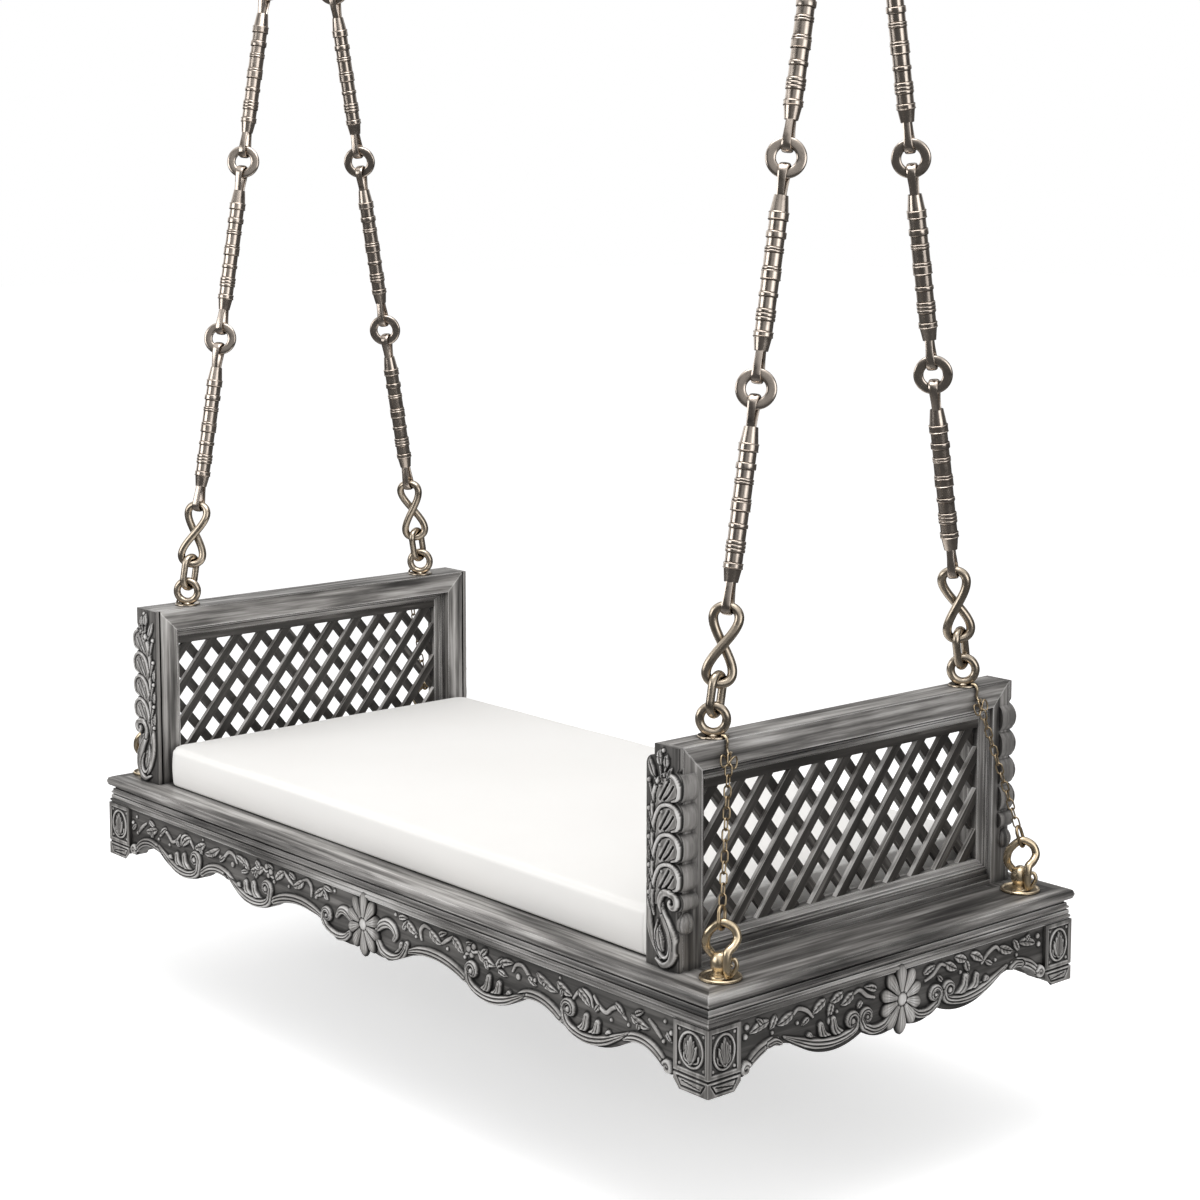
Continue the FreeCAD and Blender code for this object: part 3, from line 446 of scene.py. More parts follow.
def make_camera():
    data = bpy.data.cameras.new("camera")
    data.sensor_width = camera_sensor
    data.lens = camera_lens
    data.shift_y = camera_rise
    data.clip_start, data.clip_end = 0.05, 60.0
    camera = bpy.data.objects.new("camera", data)
    camera.location = place(*camera_at)
    camera.rotation_euler = (math.radians(90 + camera_pitch), 0, math.radians(camera_turn))
    bpy.context.scene.collection.objects.link(camera)
    bpy.context.scene.camera = camera


make_floor()
make_world()
for lamp_name, settings in lamps.items():
    area_light(lamp_name, *settings)
make_camera()
bpy.context.scene.view_settings.view_transform = "Standard"


# Carving: heights in mm over a board's face, raised by strokes, leaves and domes

def smooth_path(points, steps=8):
    """A Catmull-Rom curve through the points."""
    points = np.asarray(points, float)
    padded = np.vstack([2 * points[0] - points[1], points, 2 * points[-1] - points[-2]])
    t = np.linspace(0, 1, steps, endpoint=False)[:, None]
    rows = [0.5 * (2 * b + (c - a) * t + (2 * a - 5 * b + 4 * c - d) * t ** 2
                   + (3 * b - a - 3 * c + d) * t ** 3)
            for a, b, c, d in zip(padded, padded[1:], padded[2:], padded[3:])]
    return np.vstack(rows + [points[-1:]])


def spiral(centre, radii, degrees, count=30):
    """Points round a centre, from the first radius and angle to the second."""
    angle = np.radians(np.linspace(*degrees, count))
    radius = np.linspace(*radii, count)
    return np.stack([centre[0] + radius * np.cos(angle), centre[1] + radius * np.sin(angle)], 1)


def nearest(points, path):
    """For each point its signed distance from the path, and the share of its length there."""
    start, run = path[:-1], np.diff(path, axis=0)
    lengths = np.maximum(np.hypot(run[:, 0], run[:, 1]), 1e-6)
    away = points[:, None] - start[None]
    share = np.clip((away * run).sum(2) / lengths ** 2, 0, 1)
    offset = away - share[..., None] * run
    gap = np.hypot(offset[..., 0], offset[..., 1])
    best = gap.argmin(1)
    rows = np.arange(len(points))
    turn = run[best, 0] * offset[rows, best, 1] - run[best, 1] * offset[rows, best, 0]
    travelled = np.concatenate([[0], np.cumsum(lengths)])
    at = (travelled[best] + share[rows, best] * lengths[best]) / travelled[-1]
    return np.where(turn < 0, -1, 1) * gap[rows, best], at


def evenly(values, at):
    """Values spread evenly over a length, read at shares of it."""
    return np.interp(at, np.linspace(0, 1, len(values)), values)


def arc_height(x, power=2):
    """A round crown over -1..1."""
    return np.sqrt(np.clip(1 - np.abs(x) ** power, 0, 1))


class Relief:
    """Heights over a grid of places (u, z)."""

    def __init__(self, u, z):
        self.u, self.z = u, z
        self.height = np.zeros_like(u)

    def around(self, path, margin):
        low, high = path.min(0) - margin, path.max(0) + margin
        where = np.nonzero((self.u > low[0]) & (self.u < high[0])
                           & (self.z > low[1]) & (self.z < high[1]))
        return where, np.stack([self.u[where], self.z[where]], 1)

    def lay(self, where, top, x, moat):
        """Lays a form over what is there; beside it the ground is cut clear for a share of it."""
        present = self.height[where]
        beside = (x >= 1) & (x < 1 + moat)
        present[beside] *= (x[beside] - 1) / max(moat, 1e-6)
        self.height[where] = np.where(x < 1, top, present)

    def stroke(self, path, widths, heights, ribs=0.0, moat=0.25, full=2):
        """A band along the path, with three ribs where ribs is over 0; a high full flattens it."""
        path = np.asarray(path, float)
        where, points = self.around(path, max(widths) * (1 + moat) + 1)
        offset, at = nearest(points, path)
        x = offset / evenly(widths, at)
        crown = arc_height(x, full) ** 0.8
        crown = crown * (1 - ribs * (1 - np.abs(np.cos(1.5 * math.pi * x)) ** 0.8))
        self.lay(where, evenly(heights, at) * crown, np.abs(x), moat)

    def leaf(self, base, tip, width, height, bend=0.0, veins=4.0, moat=0.3):
        """A cupped leaf on a bent midrib, widest a little past its middle."""
        base, tip = np.asarray(base, float), np.asarray(tip, float)
        run = tip - base
        middle = (base + tip) / 2 + bend * np.array([-run[1], run[0]])
        t = np.linspace(0, 1, 14)[:, None]
        path = base * (1 - t) ** 2 + middle * 2 * t * (1 - t) + tip * t ** 2
        where, points = self.around(path, width * (1 + moat) + 1)
        offset, at = nearest(points, path)
        x = np.abs(offset) / np.maximum(width * np.sin(math.pi * at ** 0.8) ** 0.7, 0.05)
        rim = np.clip((1 - x) / 0.28, 0, 1) ** 0.6
        rib = 1 - 0.5 * np.exp(-(offset / 0.8) ** 2)
        vein = 1 - 0.22 * (0.5 + 0.5 * np.cos(TAU * (at * veins - 0.7 * x))) * (veins > 0)
        rise = np.interp(at, [0, 0.2, 0.8, 1], [0.55, 1, 1, 0.6])
        self.lay(where, height * rim * (0.72 + 0.28 * x) * rib * vein * rise, x, moat)

    def dome(self, centre, radius, height, moat=0.3):
        where, points = self.around(np.asarray([centre], float), radius * (1 + moat) + 1)
        x = np.hypot(*(points - centre).T) / radius
        self.lay(where, height * arc_height(x) ** 0.8, x, moat)

    def ridge(self, path, half, rise):
        """Raises what is there along the path, or at one point."""
        path = np.asarray(path, float)
        where, points = self.around(path, half + 1)
        away = nearest(points, path)[0] if len(path) > 1 else np.hypot(*(points - path[0]).T)
        self.height[where] += rise * arc_height(away / half)

    def groove(self, path, half, depth):
        self.ridge(path, half, -depth)

    def petal(self, base, tip, width, rise, ground):
        """A pointed petal with a fine midrib, standing on a sunk ground."""
        path = np.linspace(base, tip, 12)
        where, points = self.around(path, width + 1)
        offset, at = nearest(points, path)
        half = np.maximum(width * np.sin(math.pi * (0.06 + 0.9 * at)) ** 0.8, 0.05)
        body = arc_height(offset / half) * (1 - 0.35 * np.exp(-(offset / 0.7) ** 2))
        self.height[where] = np.maximum(self.height[where], rise * body - ground)

    def sink(self, low, high, depth):
        """Lowers a rectangle, with soft walls."""
        inside = np.minimum(np.minimum(self.u - low[0], high[0] - self.u),
                            np.minimum(self.z - low[1], high[1] - self.z))
        self.height -= depth * np.clip(inside / 1.5 + 0.5, 0, 1)

    def wear_and_shade(self, soft):
        """1 on edges that stand soft mm over their surroundings, 0 in hollows as deep; the carved wood paints
        shade into the hollows and wear with a painted highlight onto the edges from it.
        """
        field = self.height
        for _ in range(4):
            pad = np.pad(field, 1, mode="edge")
            field = (pad[:-2, 1:-1] + pad[2:, 1:-1] + pad[1:-1, :-2] + pad[1:-1, 2:] + field) / 5
        return np.clip((self.height - field) / soft, -1, 1) * 0.5 + 0.5


def ring_faces(count, sides, closed=False):
    """Quads between rings of points, and caps on the two end rings unless they close up."""
    number = np.arange(count * sides).reshape(count, sides)
    if closed:
        number = np.vstack([number, number[:1]])
    one, other = number[:-1], number[1:]
    faces = np.stack([one, np.roll(one, -1, 1), np.roll(other, -1, 1), other], -1)
    faces = faces.reshape(-1, 4).tolist()
    return faces if closed else faces + [number[0].tolist(), number[-1].tolist()]


def add_piece(name, shape, material, nodes=(), body="bed", fields=None,
              sharp=38.0):
    """A mesh object in the row's frame that rides on a body and stands for CAD nodes."""
    points, faces = shape
    mesh = bpy.data.meshes.new(name)
    mesh.from_pydata(to_frame(points).tolist(), [], [list(map(int, face)) for face in faces])
    for key, values in (fields or {}).items():
        attribute = mesh.attributes.new(key, "FLOAT", "POINT")
        attribute.data.foreach_set("value", np.asarray(values, np.float32))
    grid = bmesh.new()
    grid.from_mesh(mesh)
    bmesh.ops.recalc_face_normals(grid, faces=grid.faces)
    grid.to_mesh(mesh)
    grid.free()
    mesh.shade_smooth()
    mesh.set_sharp_from_angle(angle=math.radians(sharp))
    mesh.materials.append(material)
    piece = bpy.data.objects.new(name, mesh)
    bpy.context.scene.collection.objects.link(piece)
    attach(piece, body)
    if nodes:
        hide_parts(*nodes)
    return piece


# How far behind its face a carved board's plain edges start, and how light they are
edge_back, plain_tone = 1.5, 0.56


def carved_board(name, node, across, z, draw, to_space, thick, material):
    """A board whose face is carved; across and z are its grid, from one long edge to the other.

    thick is how far back each of the long edges runs.
    """
    relief = Relief(across, z)
    draw(relief)
    height = relief.height
    rings = [to_space(across.ravel(), z.ravel(), height.ravel()).reshape(*across.shape, 3)]
    for column, deeps in ((-1, (edge_back, thick[1])), (0, (thick[0], edge_back))):
        rings += [to_space(across[:, column], z[:, column], np.zeros(len(across)) - deep)[:, None]
                  for deep in deeps]
    points = np.concatenate(rings, 1)
    count, around, _ = points.shape
    plain = np.full((count, 4), plain_tone)
    # Height over the surroundings, for painted shade in the hollows and wear with a painted highlight on the
    # edges; the plain edges take a fixed value
    fields = {"wear_and_shade": np.hstack([relief.wear_and_shade(1.3), plain]).ravel(),
              "rise": np.hstack([np.clip(height / 8.0, 0, 1), plain]).ravel()}
    add_piece(name, (points.reshape(-1, 3), ring_faces(count, around)), material, [node],
              fields=fields)


def flip(points, side):
    """The points with u mirrored when side is -1."""
    return np.asarray(points, float) * np.array([side, 1.0])


# Ornament of the long aprons, for the right half: places in mm from the middle and the deck's
# top. A leaf is its base, tip, half-width and bend, a bud its place and radius.

front_arches = [(132, 297), (437, 554), (712, 806)]
front_drops = [((320, -108), 19, (370, -145), (466, -112)),
               ((578, -107), 20, (625, -145), (722, -110))]
front_leaves = [
    ((105, -66), (132, -61), 5.5, 0.1), ((118, -86), (134, -64), 5.5, 0.1),
    ((130, -66), (160, -83), 8.0, -0.15), ((196, -66), (232, -84), 8.5, -0.15),
    ((224, -70), (246, -60), 5.5, 0.1), ((262, -64), (291, -86), 8.5, 0.12),
    ((334, -72), (380, -86), 9.5, -0.1), ((344, -74), (360, -61), 6.5, 0.0),
    ((354, -80), (362, -97), 6.5, 0.0), ((385, -87), (406, -66), 6.5, 0.1),
    ((388, -89), (413, -96), 5.0, 0.0), ((392, -80), (432, -68), 6.5, 0.15),
    ((492, -68), (546, -88), 8.5, -0.15), ((545, -70), (583, -85), 8.5, -0.1),
    ((598, -70), (630, -92), 8.0, 0.15), ((690, -68), (713, -84), 5.5, 0.1),
    ((728, -78), (771, -89), 8.5, -0.1), ((738, -74), (758, -64), 5.5, 0.0),
    ((748, -86), (744, -99), 5.5, 0.0), ((811, -84), (826, -98), 4.5, 0.0),
    ((470, -78), (492, -92), 5.0, -0.1), ((652, -82), (640, -96), 5.0, 0.0),
    ((560, -78), (556, -94), 5.0, 0.0), ((300, -66), (318, -60), 4.5, 0.0),
]
front_stems = [
    [(172, -90), (170, -73), (182, -62), (199, -65)], [(232, -82), (248, -72), (262, -63)],
    [(428, -82), (438, -69), (455, -66), (470, -77), (487, -92)],
    [(586, -88), (598, -75), (614, -67), (630, -74), (635, -90)],
    [(638, -71), (652, -84), (668, -90), (682, -80), (696, -75), (716, -88)],
    [(771, -74), (785, -83), (801, -97)], [(300, -84), (318, -76), (336, -72)],
]
front_buds = [
    (95, -62, 3.5), (156, -88, 3.5), (247, -88, 3.5), (297, -90, 4.0), (308, -73, 6.5),
    (322, -66, 6.0), (316, -82, 5.5), (443, -88, 5.5), (487, -83, 4.0), (512, -84, 4.0),
    (680, -99, 3.5), (722, -96, 3.5), (808, -67, 3.5), (823, -82, 4.5), (805, -100, 4.0),
    (552, -62, 3.0), (402, -80, 3.0),
]

# Ornament of the short aprons, for the half towards the back
end_arches = [(284, 348)]
end_drops = [((118, -112), 18, (165, -136), (270, -104))]
end_leaves = [
    ((57, -74), (86, -64), 6.5, 0.1), ((112, -66), (141, -82), 8.5, -0.1),
    ((136, -61), (166, -72), 8.5, 0.0), ((162, -72), (170, -95), 7.0, 0.0),
    ((176, -64), (207, -82), 8.5, 0.1), ((250, -68), (286, -81), 8.5, -0.1),
    ((288, -63), (301, -85), 6.5, 0.0), ((303, -70), (346, -81), 8.5, 0.1),
    ((214, -84), (232, -94), 5.0, 0.0), ((92, -84), (104, -96), 5.0, 0.0),
    ((318, -72), (330, -60), 5.0, 0.0),
]
end_stems = [[(62, -86), (80, -79), (98, -66), (114, -71)],
             [(205, -86), (220, -72), (240, -65), (253, -76)]]
end_buds = [(165, -101, 8.0), (296, -91, 3.5), (352, -69, 5.0), (355, -84, 5.0),
            (150, -90, 3.5), (240, -88, 3.5)]

# A drop's acanthus fingers: shift from its bottom, height and lean
drop_fingers = ((34, 22, 16), (6, 33, 18), (-24, 37, 20))


def arch(relief, edge, run, side):
    """The reeded roll along the top of one arch."""
    u = np.linspace(*run, 28)
    relief.stroke(flip(np.stack([u, edge(u) + 9.0], 1), side), [4, 8.5, 9.5, 9.5, 9.5, 8.5],
                  [5, 8, 8.5, 8.5, 8, 7], ribs=0.5, moat=0.2)


def drop(relief, volute, radius, bottom, tail, side):
    """A C-scroll that hangs from its volute and runs out in a tail, with acanthus fingers."""
    bottom, tail = np.array(bottom, float), np.array(tail, float)
    for shift, high, lean in drop_fingers:
        finger = bottom + np.array([(shift - 12, 4), (shift + 4, 9),
                                    (shift + lean - 4, high * 0.55), (shift + lean, high)])
        relief.stroke(flip(smooth_path(finger), side), [5, 8.5, 9, 7.5, 6], [5, 7, 8.5, 9, 8],
                      ribs=0.32, moat=0.3)
    start = np.array(volute, float) - (radius - 6, 0)
    fall, climb = bottom - tail, start - bottom
    body = [tail, tail + fall * (0.3, 0.42), tail + fall * (0.62, 0.80), bottom,
            bottom + climb * (0.55, 0.10), bottom + climb * (0.90, 0.42), start]
    curl = spiral(volute, (radius - 6, 3.5), (180, -190), 36)
    path = np.vstack([smooth_path(body)[:-1], curl])
    relief.stroke(flip(path, side), [2.5, 5.5, 8, 9.5, 9.5, 8.5, 8, 7.5, 6.5, 5],
                  [4, 6, 8] + 6 * [9.5] + [9], ribs=0.45)
    relief.dome(flip(volute, side), 6.5, 10.5, 0.1)


def scroll(relief, points, centre, degrees, widths, side=1):
    """A band that runs into a volute with a button."""
    path = np.vstack([smooth_path(points), spiral(centre, (13, 3), degrees)])
    relief.stroke(flip(path, side), widths, [7, 9, 9, 9, 9, 9, 8], ribs=0.45)
    relief.dome(flip(centre, side), 4.5, 9.0, 0.1)


def roundel(relief, centre, side):
    """The small rolled end of the outermost arch."""
    turn = spiral(centre, (9.5, 2.5), (150, -330))
    relief.stroke(flip(turn, side), [4.5, 4.5, 4.2, 3.5], [8.5, 8.5, 8.5, 8], moat=0.3)


def half_ornament(relief, edge, side, leaves, stems, buds, arches, drops, roundel_at):
    """What both halves of an apron share."""
    for path in stems:
        relief.stroke(flip(smooth_path(path), side), [2.6, 3.8, 3.8, 2.4], [3, 4.5, 4.5, 3])
    for base, tip, width, bend in leaves:
        relief.leaf(flip(base, side), flip(tip, side), width, 5.5, bend * side)
    for u, z, radius in buds:
        relief.dome(flip((u, z), side), radius, min(radius, 4.5))
    for run in arches:
        arch(relief, edge, run, side)
    for parts in drops:
        drop(relief, *parts, side)
    roundel(relief, roundel_at, side)


def front_ornament(edge):
    def draw(relief):
        for side in (-1, 1):
            half_ornament(relief, edge, side, front_leaves, front_stems, front_buds, front_arches,
                          front_drops, (817, -138))
        for points, widths, heights, ribs in (
                ([(40, -102), (56, -89), (74, -83), (90, -87), (98, -99), (91, -109)],
                 [6, 9, 10, 9, 7, 5], [6, 9, 9, 9, 8, 6], 0.35),
                ([(95, -136), (110, -125), (114, -112)], [5, 6.5, 5], [6, 8, 7], 0.3),
                ([(42, -122), (58, -138), (84, -144), (110, -136), (125, -120), (130, -108)],
                 [6, 8, 8.5, 8, 7.5, 6], [7, 9, 9, 9, 8, 7], 0.45),
                ([(-40, -104), (-56, -92), (-74, -94), (-88, -108)], [6, 9, 8, 4], [6, 9, 8, 5],
                 0.35)):
            relief.stroke(smooth_path(points), widths, heights, ribs)
        scroll(relief, [(-46, -130), (-62, -141), (-88, -144), (-114, -137), (-128, -124)],
               (-116, -112), (180, -190), [6, 8, 8.5, 8, 7, 6, 4.5])
    return draw


def end_ornament(edge):
    hook = np.vstack([smooth_path([(306, -108), (292, -106), (281, -111)]),
                      [(279, -119), (285, -124)]])

    def draw(relief):
        for side in (-1, 1):
            half_ornament(relief, edge, side, end_leaves, end_stems, end_buds, end_arches,
                          end_drops, (357, -134))
            relief.stroke(flip(hook, side), [7, 7, 6, 5, 4], [8, 8.5, 8.5, 8, 7], ribs=0.4)
            scroll(relief, [(26, -126), (42, -137), (66, -139), (88, -129)], (83, -113),
                   (-10, 380), [6, 8, 8, 7.5, 7, 6, 4.5], side)
    return draw


def lower_edge(node, axis):
    """The lowest height of a node along x (0) or y (1), as a function in mm."""
    mesh = frame["nodes"][node].data
    points = np.empty(len(mesh.vertices) * 3)
    mesh.vertices.foreach_get("co", points)
    points = (points.reshape(-1, 3) - np.array([middle_x, 0.0, deck_z])) / MM
    u, z = np.round(points[:, axis], 1), points[:, 2]
    places = np.unique(u)
    heights = np.array([z[u == place_u].min() for place_u in places])
    return lambda at: np.interp(at, places, heights)


def carve_aprons(names, pattern, axis, half_run, face, ornament, material):
    """The two aprons that run along one axis, with the scalloped edge of the pattern's solid."""
    edge = lower_edge(pattern + "_apron", axis)
    u = np.linspace(-half_run, half_run, round(half_run * 2 / apron_step))
    low = edge(u)
    t = np.linspace(0, 1, round((apron_top - low.min()) / apron_step))
    across = np.repeat(u[:, None], len(t), 1)
    z = apron_top + (low[:, None] - apron_top) * t[None]
    for name in names:
        def to_space(along, up, out):
            outward = sign[name] * (face + out)
            return np.stack([outward, along, up] if axis else [along, outward, up], -1)

        carved_board(name + "_apron_carved", name + "_apron", across, z, ornament(edge), to_space,
                     (apron_thick, apron_thick), material)


# Metal: turned, bent and linked forms; each chain is measured from the centre of its rail eye

eye_y, eye_radius, eye_wire = 300.0, 21.5, 7.4
eye_z = pivot_z - eye_radius
rail_top = 360.0
chain_turn = 45.0
chain_tilt = math.degrees(math.atan2(eye_y, master_z - eye_z))
oval_low, oval_length, oval_bend, oval_wire, oval_turn = 7.3, 64.0, 17.5, 7.0, 18.0
eight_low, eight_loop, eight_height, eight_wire, eight_room = 56.5, 20.8, 82.4, 7.9, 0.3
rod_low, rod_length, rod_count = 182.277, 322.5, 4
rod_pitch = rod_length + 2 * 23.75
washer_radius, washer_wall, washer_thick = 24.9, 17.4, 9.4
top_link_low, top_link_length, top_link_bend, top_link_wire = 1646.727, 70.0, 22.0, 6.5
top_link_turn = 67.5
master_radius, master_wire = 58.0, 8.0
strap_centre, strap_neck, strap_reach, strap_width, strap_thick = 13.3, 8.2, 37.2, 16.0, 5.6
strap_turn = 31.0
strap_swell = [0.8, 0.8, 0.92, 1.0, 1.08, 1.1, 1.08, 1.0, 0.92, 0.8, 0.8]

# The turning of a rod, from its lower strap up: the kind, its radius and length, and a cone's
# other radius or a number of beads
rod_turning = [
    ("cone", 11.4, 21.0, 14.6), ("collar", 16.6, 10.0), ("body", 14.4, 16.0),
    ("beads", 16.2, 19.0, 3), ("body", 14.4, 19.0), ("beads", 16.0, 7.5, 1), ("body", 14.4, 19.0),
    ("collar", 16.8, 16.0), ("beads", 16.0, 5.0, 1), ("body", 14.9, 22.0),
    ("beads", 16.0, 9.0, 2), ("body", 14.4, 14.0), ("beads", 16.6, 11.0, 1), ("body", 14.4, 17.0),
    ("collar", 17.0, 14.0), ("cone", 15.0, 26.0, 11.6),
]
bead_rim, body_step = 1.8, 0.9

# The dished plate under a rail eye, as (radius, height)
eye_plate = [(0.4, 0.1), (25.3, 0.1), (26.0, 1.0), (25.6, 2.6), (24.4, 3.3), (22.6, 2.7),
             (14.0, 1.9), (9.0, 2.8), (7.2, 5.0), (0.4, 5.4)]


def circle(radius, sides):
    angle = np.linspace(0, TAU, sides, endpoint=False)
    return radius * np.stack([np.cos(angle), np.sin(angle)], 1)


def flat_section(width, thick, sides, square):
    """A rectangle with rounded corners; square runs from 1, an ellipse, to sharper corners."""
    round_one = circle(1.0, sides)
    return np.sign(round_one) * np.abs(round_one) ** square * (width / 2, thick / 2)


def lathe(profile, sides=36, closed=False):
    """Turns (radius, height) points round the z axis."""
    profile = np.asarray(profile, float)
    flat = profile[:, None, :1] * circle(1.0, sides)[None]
    points = np.concatenate([flat, np.repeat(profile[:, None, 1:], sides, 1)], 2)
    return points.reshape(-1, 3), ring_faces(len(profile), sides, closed)


def sweep(path, section, closed=False, level=None, scales=(1.0,)):
    """Carries a section along a path; its first axis keeps to the direction level, if any."""
    path = np.asarray(path, float)
    ahead = np.roll(path, -1, 0) - np.roll(path, 1, 0) if closed else np.gradient(path, axis=0)
    ahead /= np.linalg.norm(ahead, axis=1)[:, None]
    side = np.empty_like(path)
    last = np.array([0.31, 0.17, 0.93]) if level is None else np.asarray(level, float)
    for number, forward in enumerate(ahead):
        flat = last - (last @ forward) * forward
        side[number] = flat / np.linalg.norm(flat)
        if level is None:
            last = side[number]
    up = np.cross(ahead, side)
    size = evenly(scales, np.linspace(0, 1, len(path)))
    rings = section[None, :, :1] * side[:, None] + section[None, :, 1:] * up[:, None]
    points = path[:, None] + size[:, None, None] * rings
    return points.reshape(-1, 3), ring_faces(len(path), len(section), closed)


def join(shapes):
    points, faces, first = [], [], 0
    for shape_points, shape_faces in shapes:
        points.append(shape_points)
        faces += [[number + first for number in face] for face in shape_faces]
        first += len(shape_points)
    return np.vstack(points), faces


def shifted(shape, move):
    return shape[0] + np.asarray(move, float), shape[1]


def spun(shape, turn, lean=0.0):
    """Turned about z and then leaned about x, in degrees."""
    a, b = math.radians(turn), math.radians(lean)
    about_z = np.array([[math.cos(a), -math.sin(a), 0], [math.sin(a), math.cos(a), 0], [0, 0, 1]])
    about_x = np.array([[1, 0, 0], [0, math.cos(b), -math.sin(b)], [0, math.sin(b), math.cos(b)]])
    return shape[0] @ (about_x @ about_z).T, shape[1]


def long_link(low, bend, wire, length):
    """A long link in the Y-Z plane, with its lower bar centred at height low."""
    half = np.linspace(0, math.pi, 17)
    level, rise = bend * np.cos(half), bend * np.sin(half)
    upper = np.stack([0 * half, level, low + length - bend + rise], 1)
    lower = np.stack([0 * half, -level, low + bend - rise], 1)
    legs = [np.linspace(start, stop, 6)[1:-1] for start, stop in
            ((upper[-1], lower[0]), (lower[-1], upper[0]))]
    path = np.vstack([upper, legs[0], lower, legs[1]])
    return sweep(path, circle(wire, 14), True, (1, 0, 0))


def ring_bar(radius, wire, sides=48):
    """A ring upright in the X-Z plane, centred on the origin."""
    round_path = circle(radius, sides)
    path = np.stack([round_path[:, 0], np.zeros(sides), round_path[:, 1]], 1)
    return sweep(path, circle(wire, 16), True, (0, 1, 0))


def eight_link():
    """A twisted link whose two loops cross in the middle."""
    half = eight_height / 2 + eight_loop
    t = np.linspace(0, TAU, 72, endpoint=False)
    path = np.stack([eight_loop * np.sin(2 * t), (eight_wire + eight_room) * np.sin(t),
                     eight_low + half * (1 - np.cos(t))], 1)
    return sweep(path, circle(eight_wire, 16), True, (0, 1, 0))


def turned_profile(parts, low, high):
    """The profile of a turning between two heights, as (radius, height) points."""
    points, z = [], 0.0
    for kind, radius, length, *more in parts:
        if kind == "cone":
            points += [(radius, z), (more[0], z + length)]
        elif kind == "body":
            points += [(radius - body_step, z + 0.1), (radius, z + 1.0), (radius, z + length - 1.0),
                       (radius - body_step, z + length - 0.1)]
        else:
            count = more[0] if more else 1
            run = length / count
            rim = min(run / 2, bead_rim)
            bow = np.linspace(0, math.pi / 2, 5)
            curve = list(zip(radius - rim + rim * np.sin(bow), rim * (1 - np.cos(bow))))
            for number in range(count):
                start = z + number * run
                points += [(r, start + into) for r, into in curve]
                if kind == "collar":
                    points += [(radius - 0.7, z + rim + 0.6), (radius - 0.7, z + run - rim - 0.6)]
                points += [(r, start + run - into) for r, into in curve[::-1]]
        z += length
    return [(r, low + height * (high - low) / z) for r, height in points]


def strap():
    """The flat loop at a rod's end, in the Y-Z plane, with its bore centred on the origin."""
    half = np.linspace(math.pi, TAU, 17)
    bend = np.stack([0 * half, strap_centre * np.cos(half), strap_centre * np.sin(half)], 1)
    t = np.linspace(0, 1, 8)[1:, None]
    leg = np.hstack([0 * t, strap_centre + (strap_neck - strap_centre) * t ** 1.6,
                     (strap_reach + 3.0) * t])
    path = np.vstack([leg[::-1] * (1, -1, 1), bend, leg])
    return sweep(path, flat_section(strap_width, strap_thick, 16, 0.75), False, (1, 0, 0),
                 strap_swell)


def rod(low):
    seat = strap_reach - 0.5
    turning = lathe(turned_profile(rod_turning, seat, rod_length - seat))
    loop = strap()
    upper = loop[0] * (1, -1, -1) + (0, 0, rod_length), loop[1]
    return shifted(join([turning, loop, upper]), (0, 0, low))


def washer(centre):
    section = flat_section(washer_wall, washer_thick, 20, 0.6)
    points, faces = lathe(section + (washer_radius, 0), 64, True)
    return shifted((points[:, [0, 2, 1]] * (1, -1, 1), faces), (0, 0, centre))


def hanger_at(end, y, z):
    return sign[end] * hang_x[end], y, z


def rail_eye(end, side):
    """A ring on a thin dished plate."""
    ring = shifted(spun(ring_bar(eye_radius, eye_wire), chain_turn), (0, 0, eye_z - rail_top))
    return shifted(join([ring, lathe(eye_plate)]), hanger_at(end, sign[side] * eye_y, rail_top))


def add_metal(name, shapes, material, node):
    """A piece on its node's own body; its slot is its material's name without Blender's number."""
    body = next(body for body, nodes in frame["record"]["behaviour"]["bodies"].items()
                if node in nodes)
    add_piece(name, join(shapes), material, [node], body, sharp=40.0)


def make_chains():
    rods = [rod(rod_low + number * rod_pitch) for number in range(rod_count)]
    washers = [washer(rod_low + (rod_length + rod_pitch) / 2 + number * rod_pitch)
               for number in range(rod_count)]
    oval = long_link(oval_low, oval_bend, oval_wire, oval_length)
    top = long_link(top_link_low, top_link_bend, top_link_wire, top_link_length)
    ring = spun(ring_bar(master_radius, master_wire, 72), 90)
    for end in ends:
        for piece, node, shapes, turn, material in (
                ("_rods", "_turned_rods", rods, strap_turn, nickel),
                ("_washers", "_washer_rings", washers, chain_turn, nickel),
                ("_ovals", "_oval_links", [oval], oval_turn, bronze),
                ("_eights", "_figure_eight_links", [eight_link()], chain_turn, bronze),
                ("_top_ovals", "_top_links", [top], top_link_turn, nickel)):
            hung = [shifted(spun(shape, turn, sign[side] * chain_tilt),
                            hanger_at(end, sign[side] * eye_y, eye_z))
                    for side in sides for shape in shapes]
            add_metal(end + piece, hung, material, end + node)
        eyes = [rail_eye(end, side) for side in sides]
        add_metal(end + "_eyes", eyes, bronze, end + "_rail_eyes")
        add_metal(end + "_top_ring", [shifted(ring, hanger_at(end, 0, master_z))], nickel,
                  end + "_master_ring")


# Deck hooks: a dished plate, an egg-shaped ball, a ring bent like a question mark and a small
# curl beside its leg. Each row is a point in ring radii across, up and ahead of the ball.

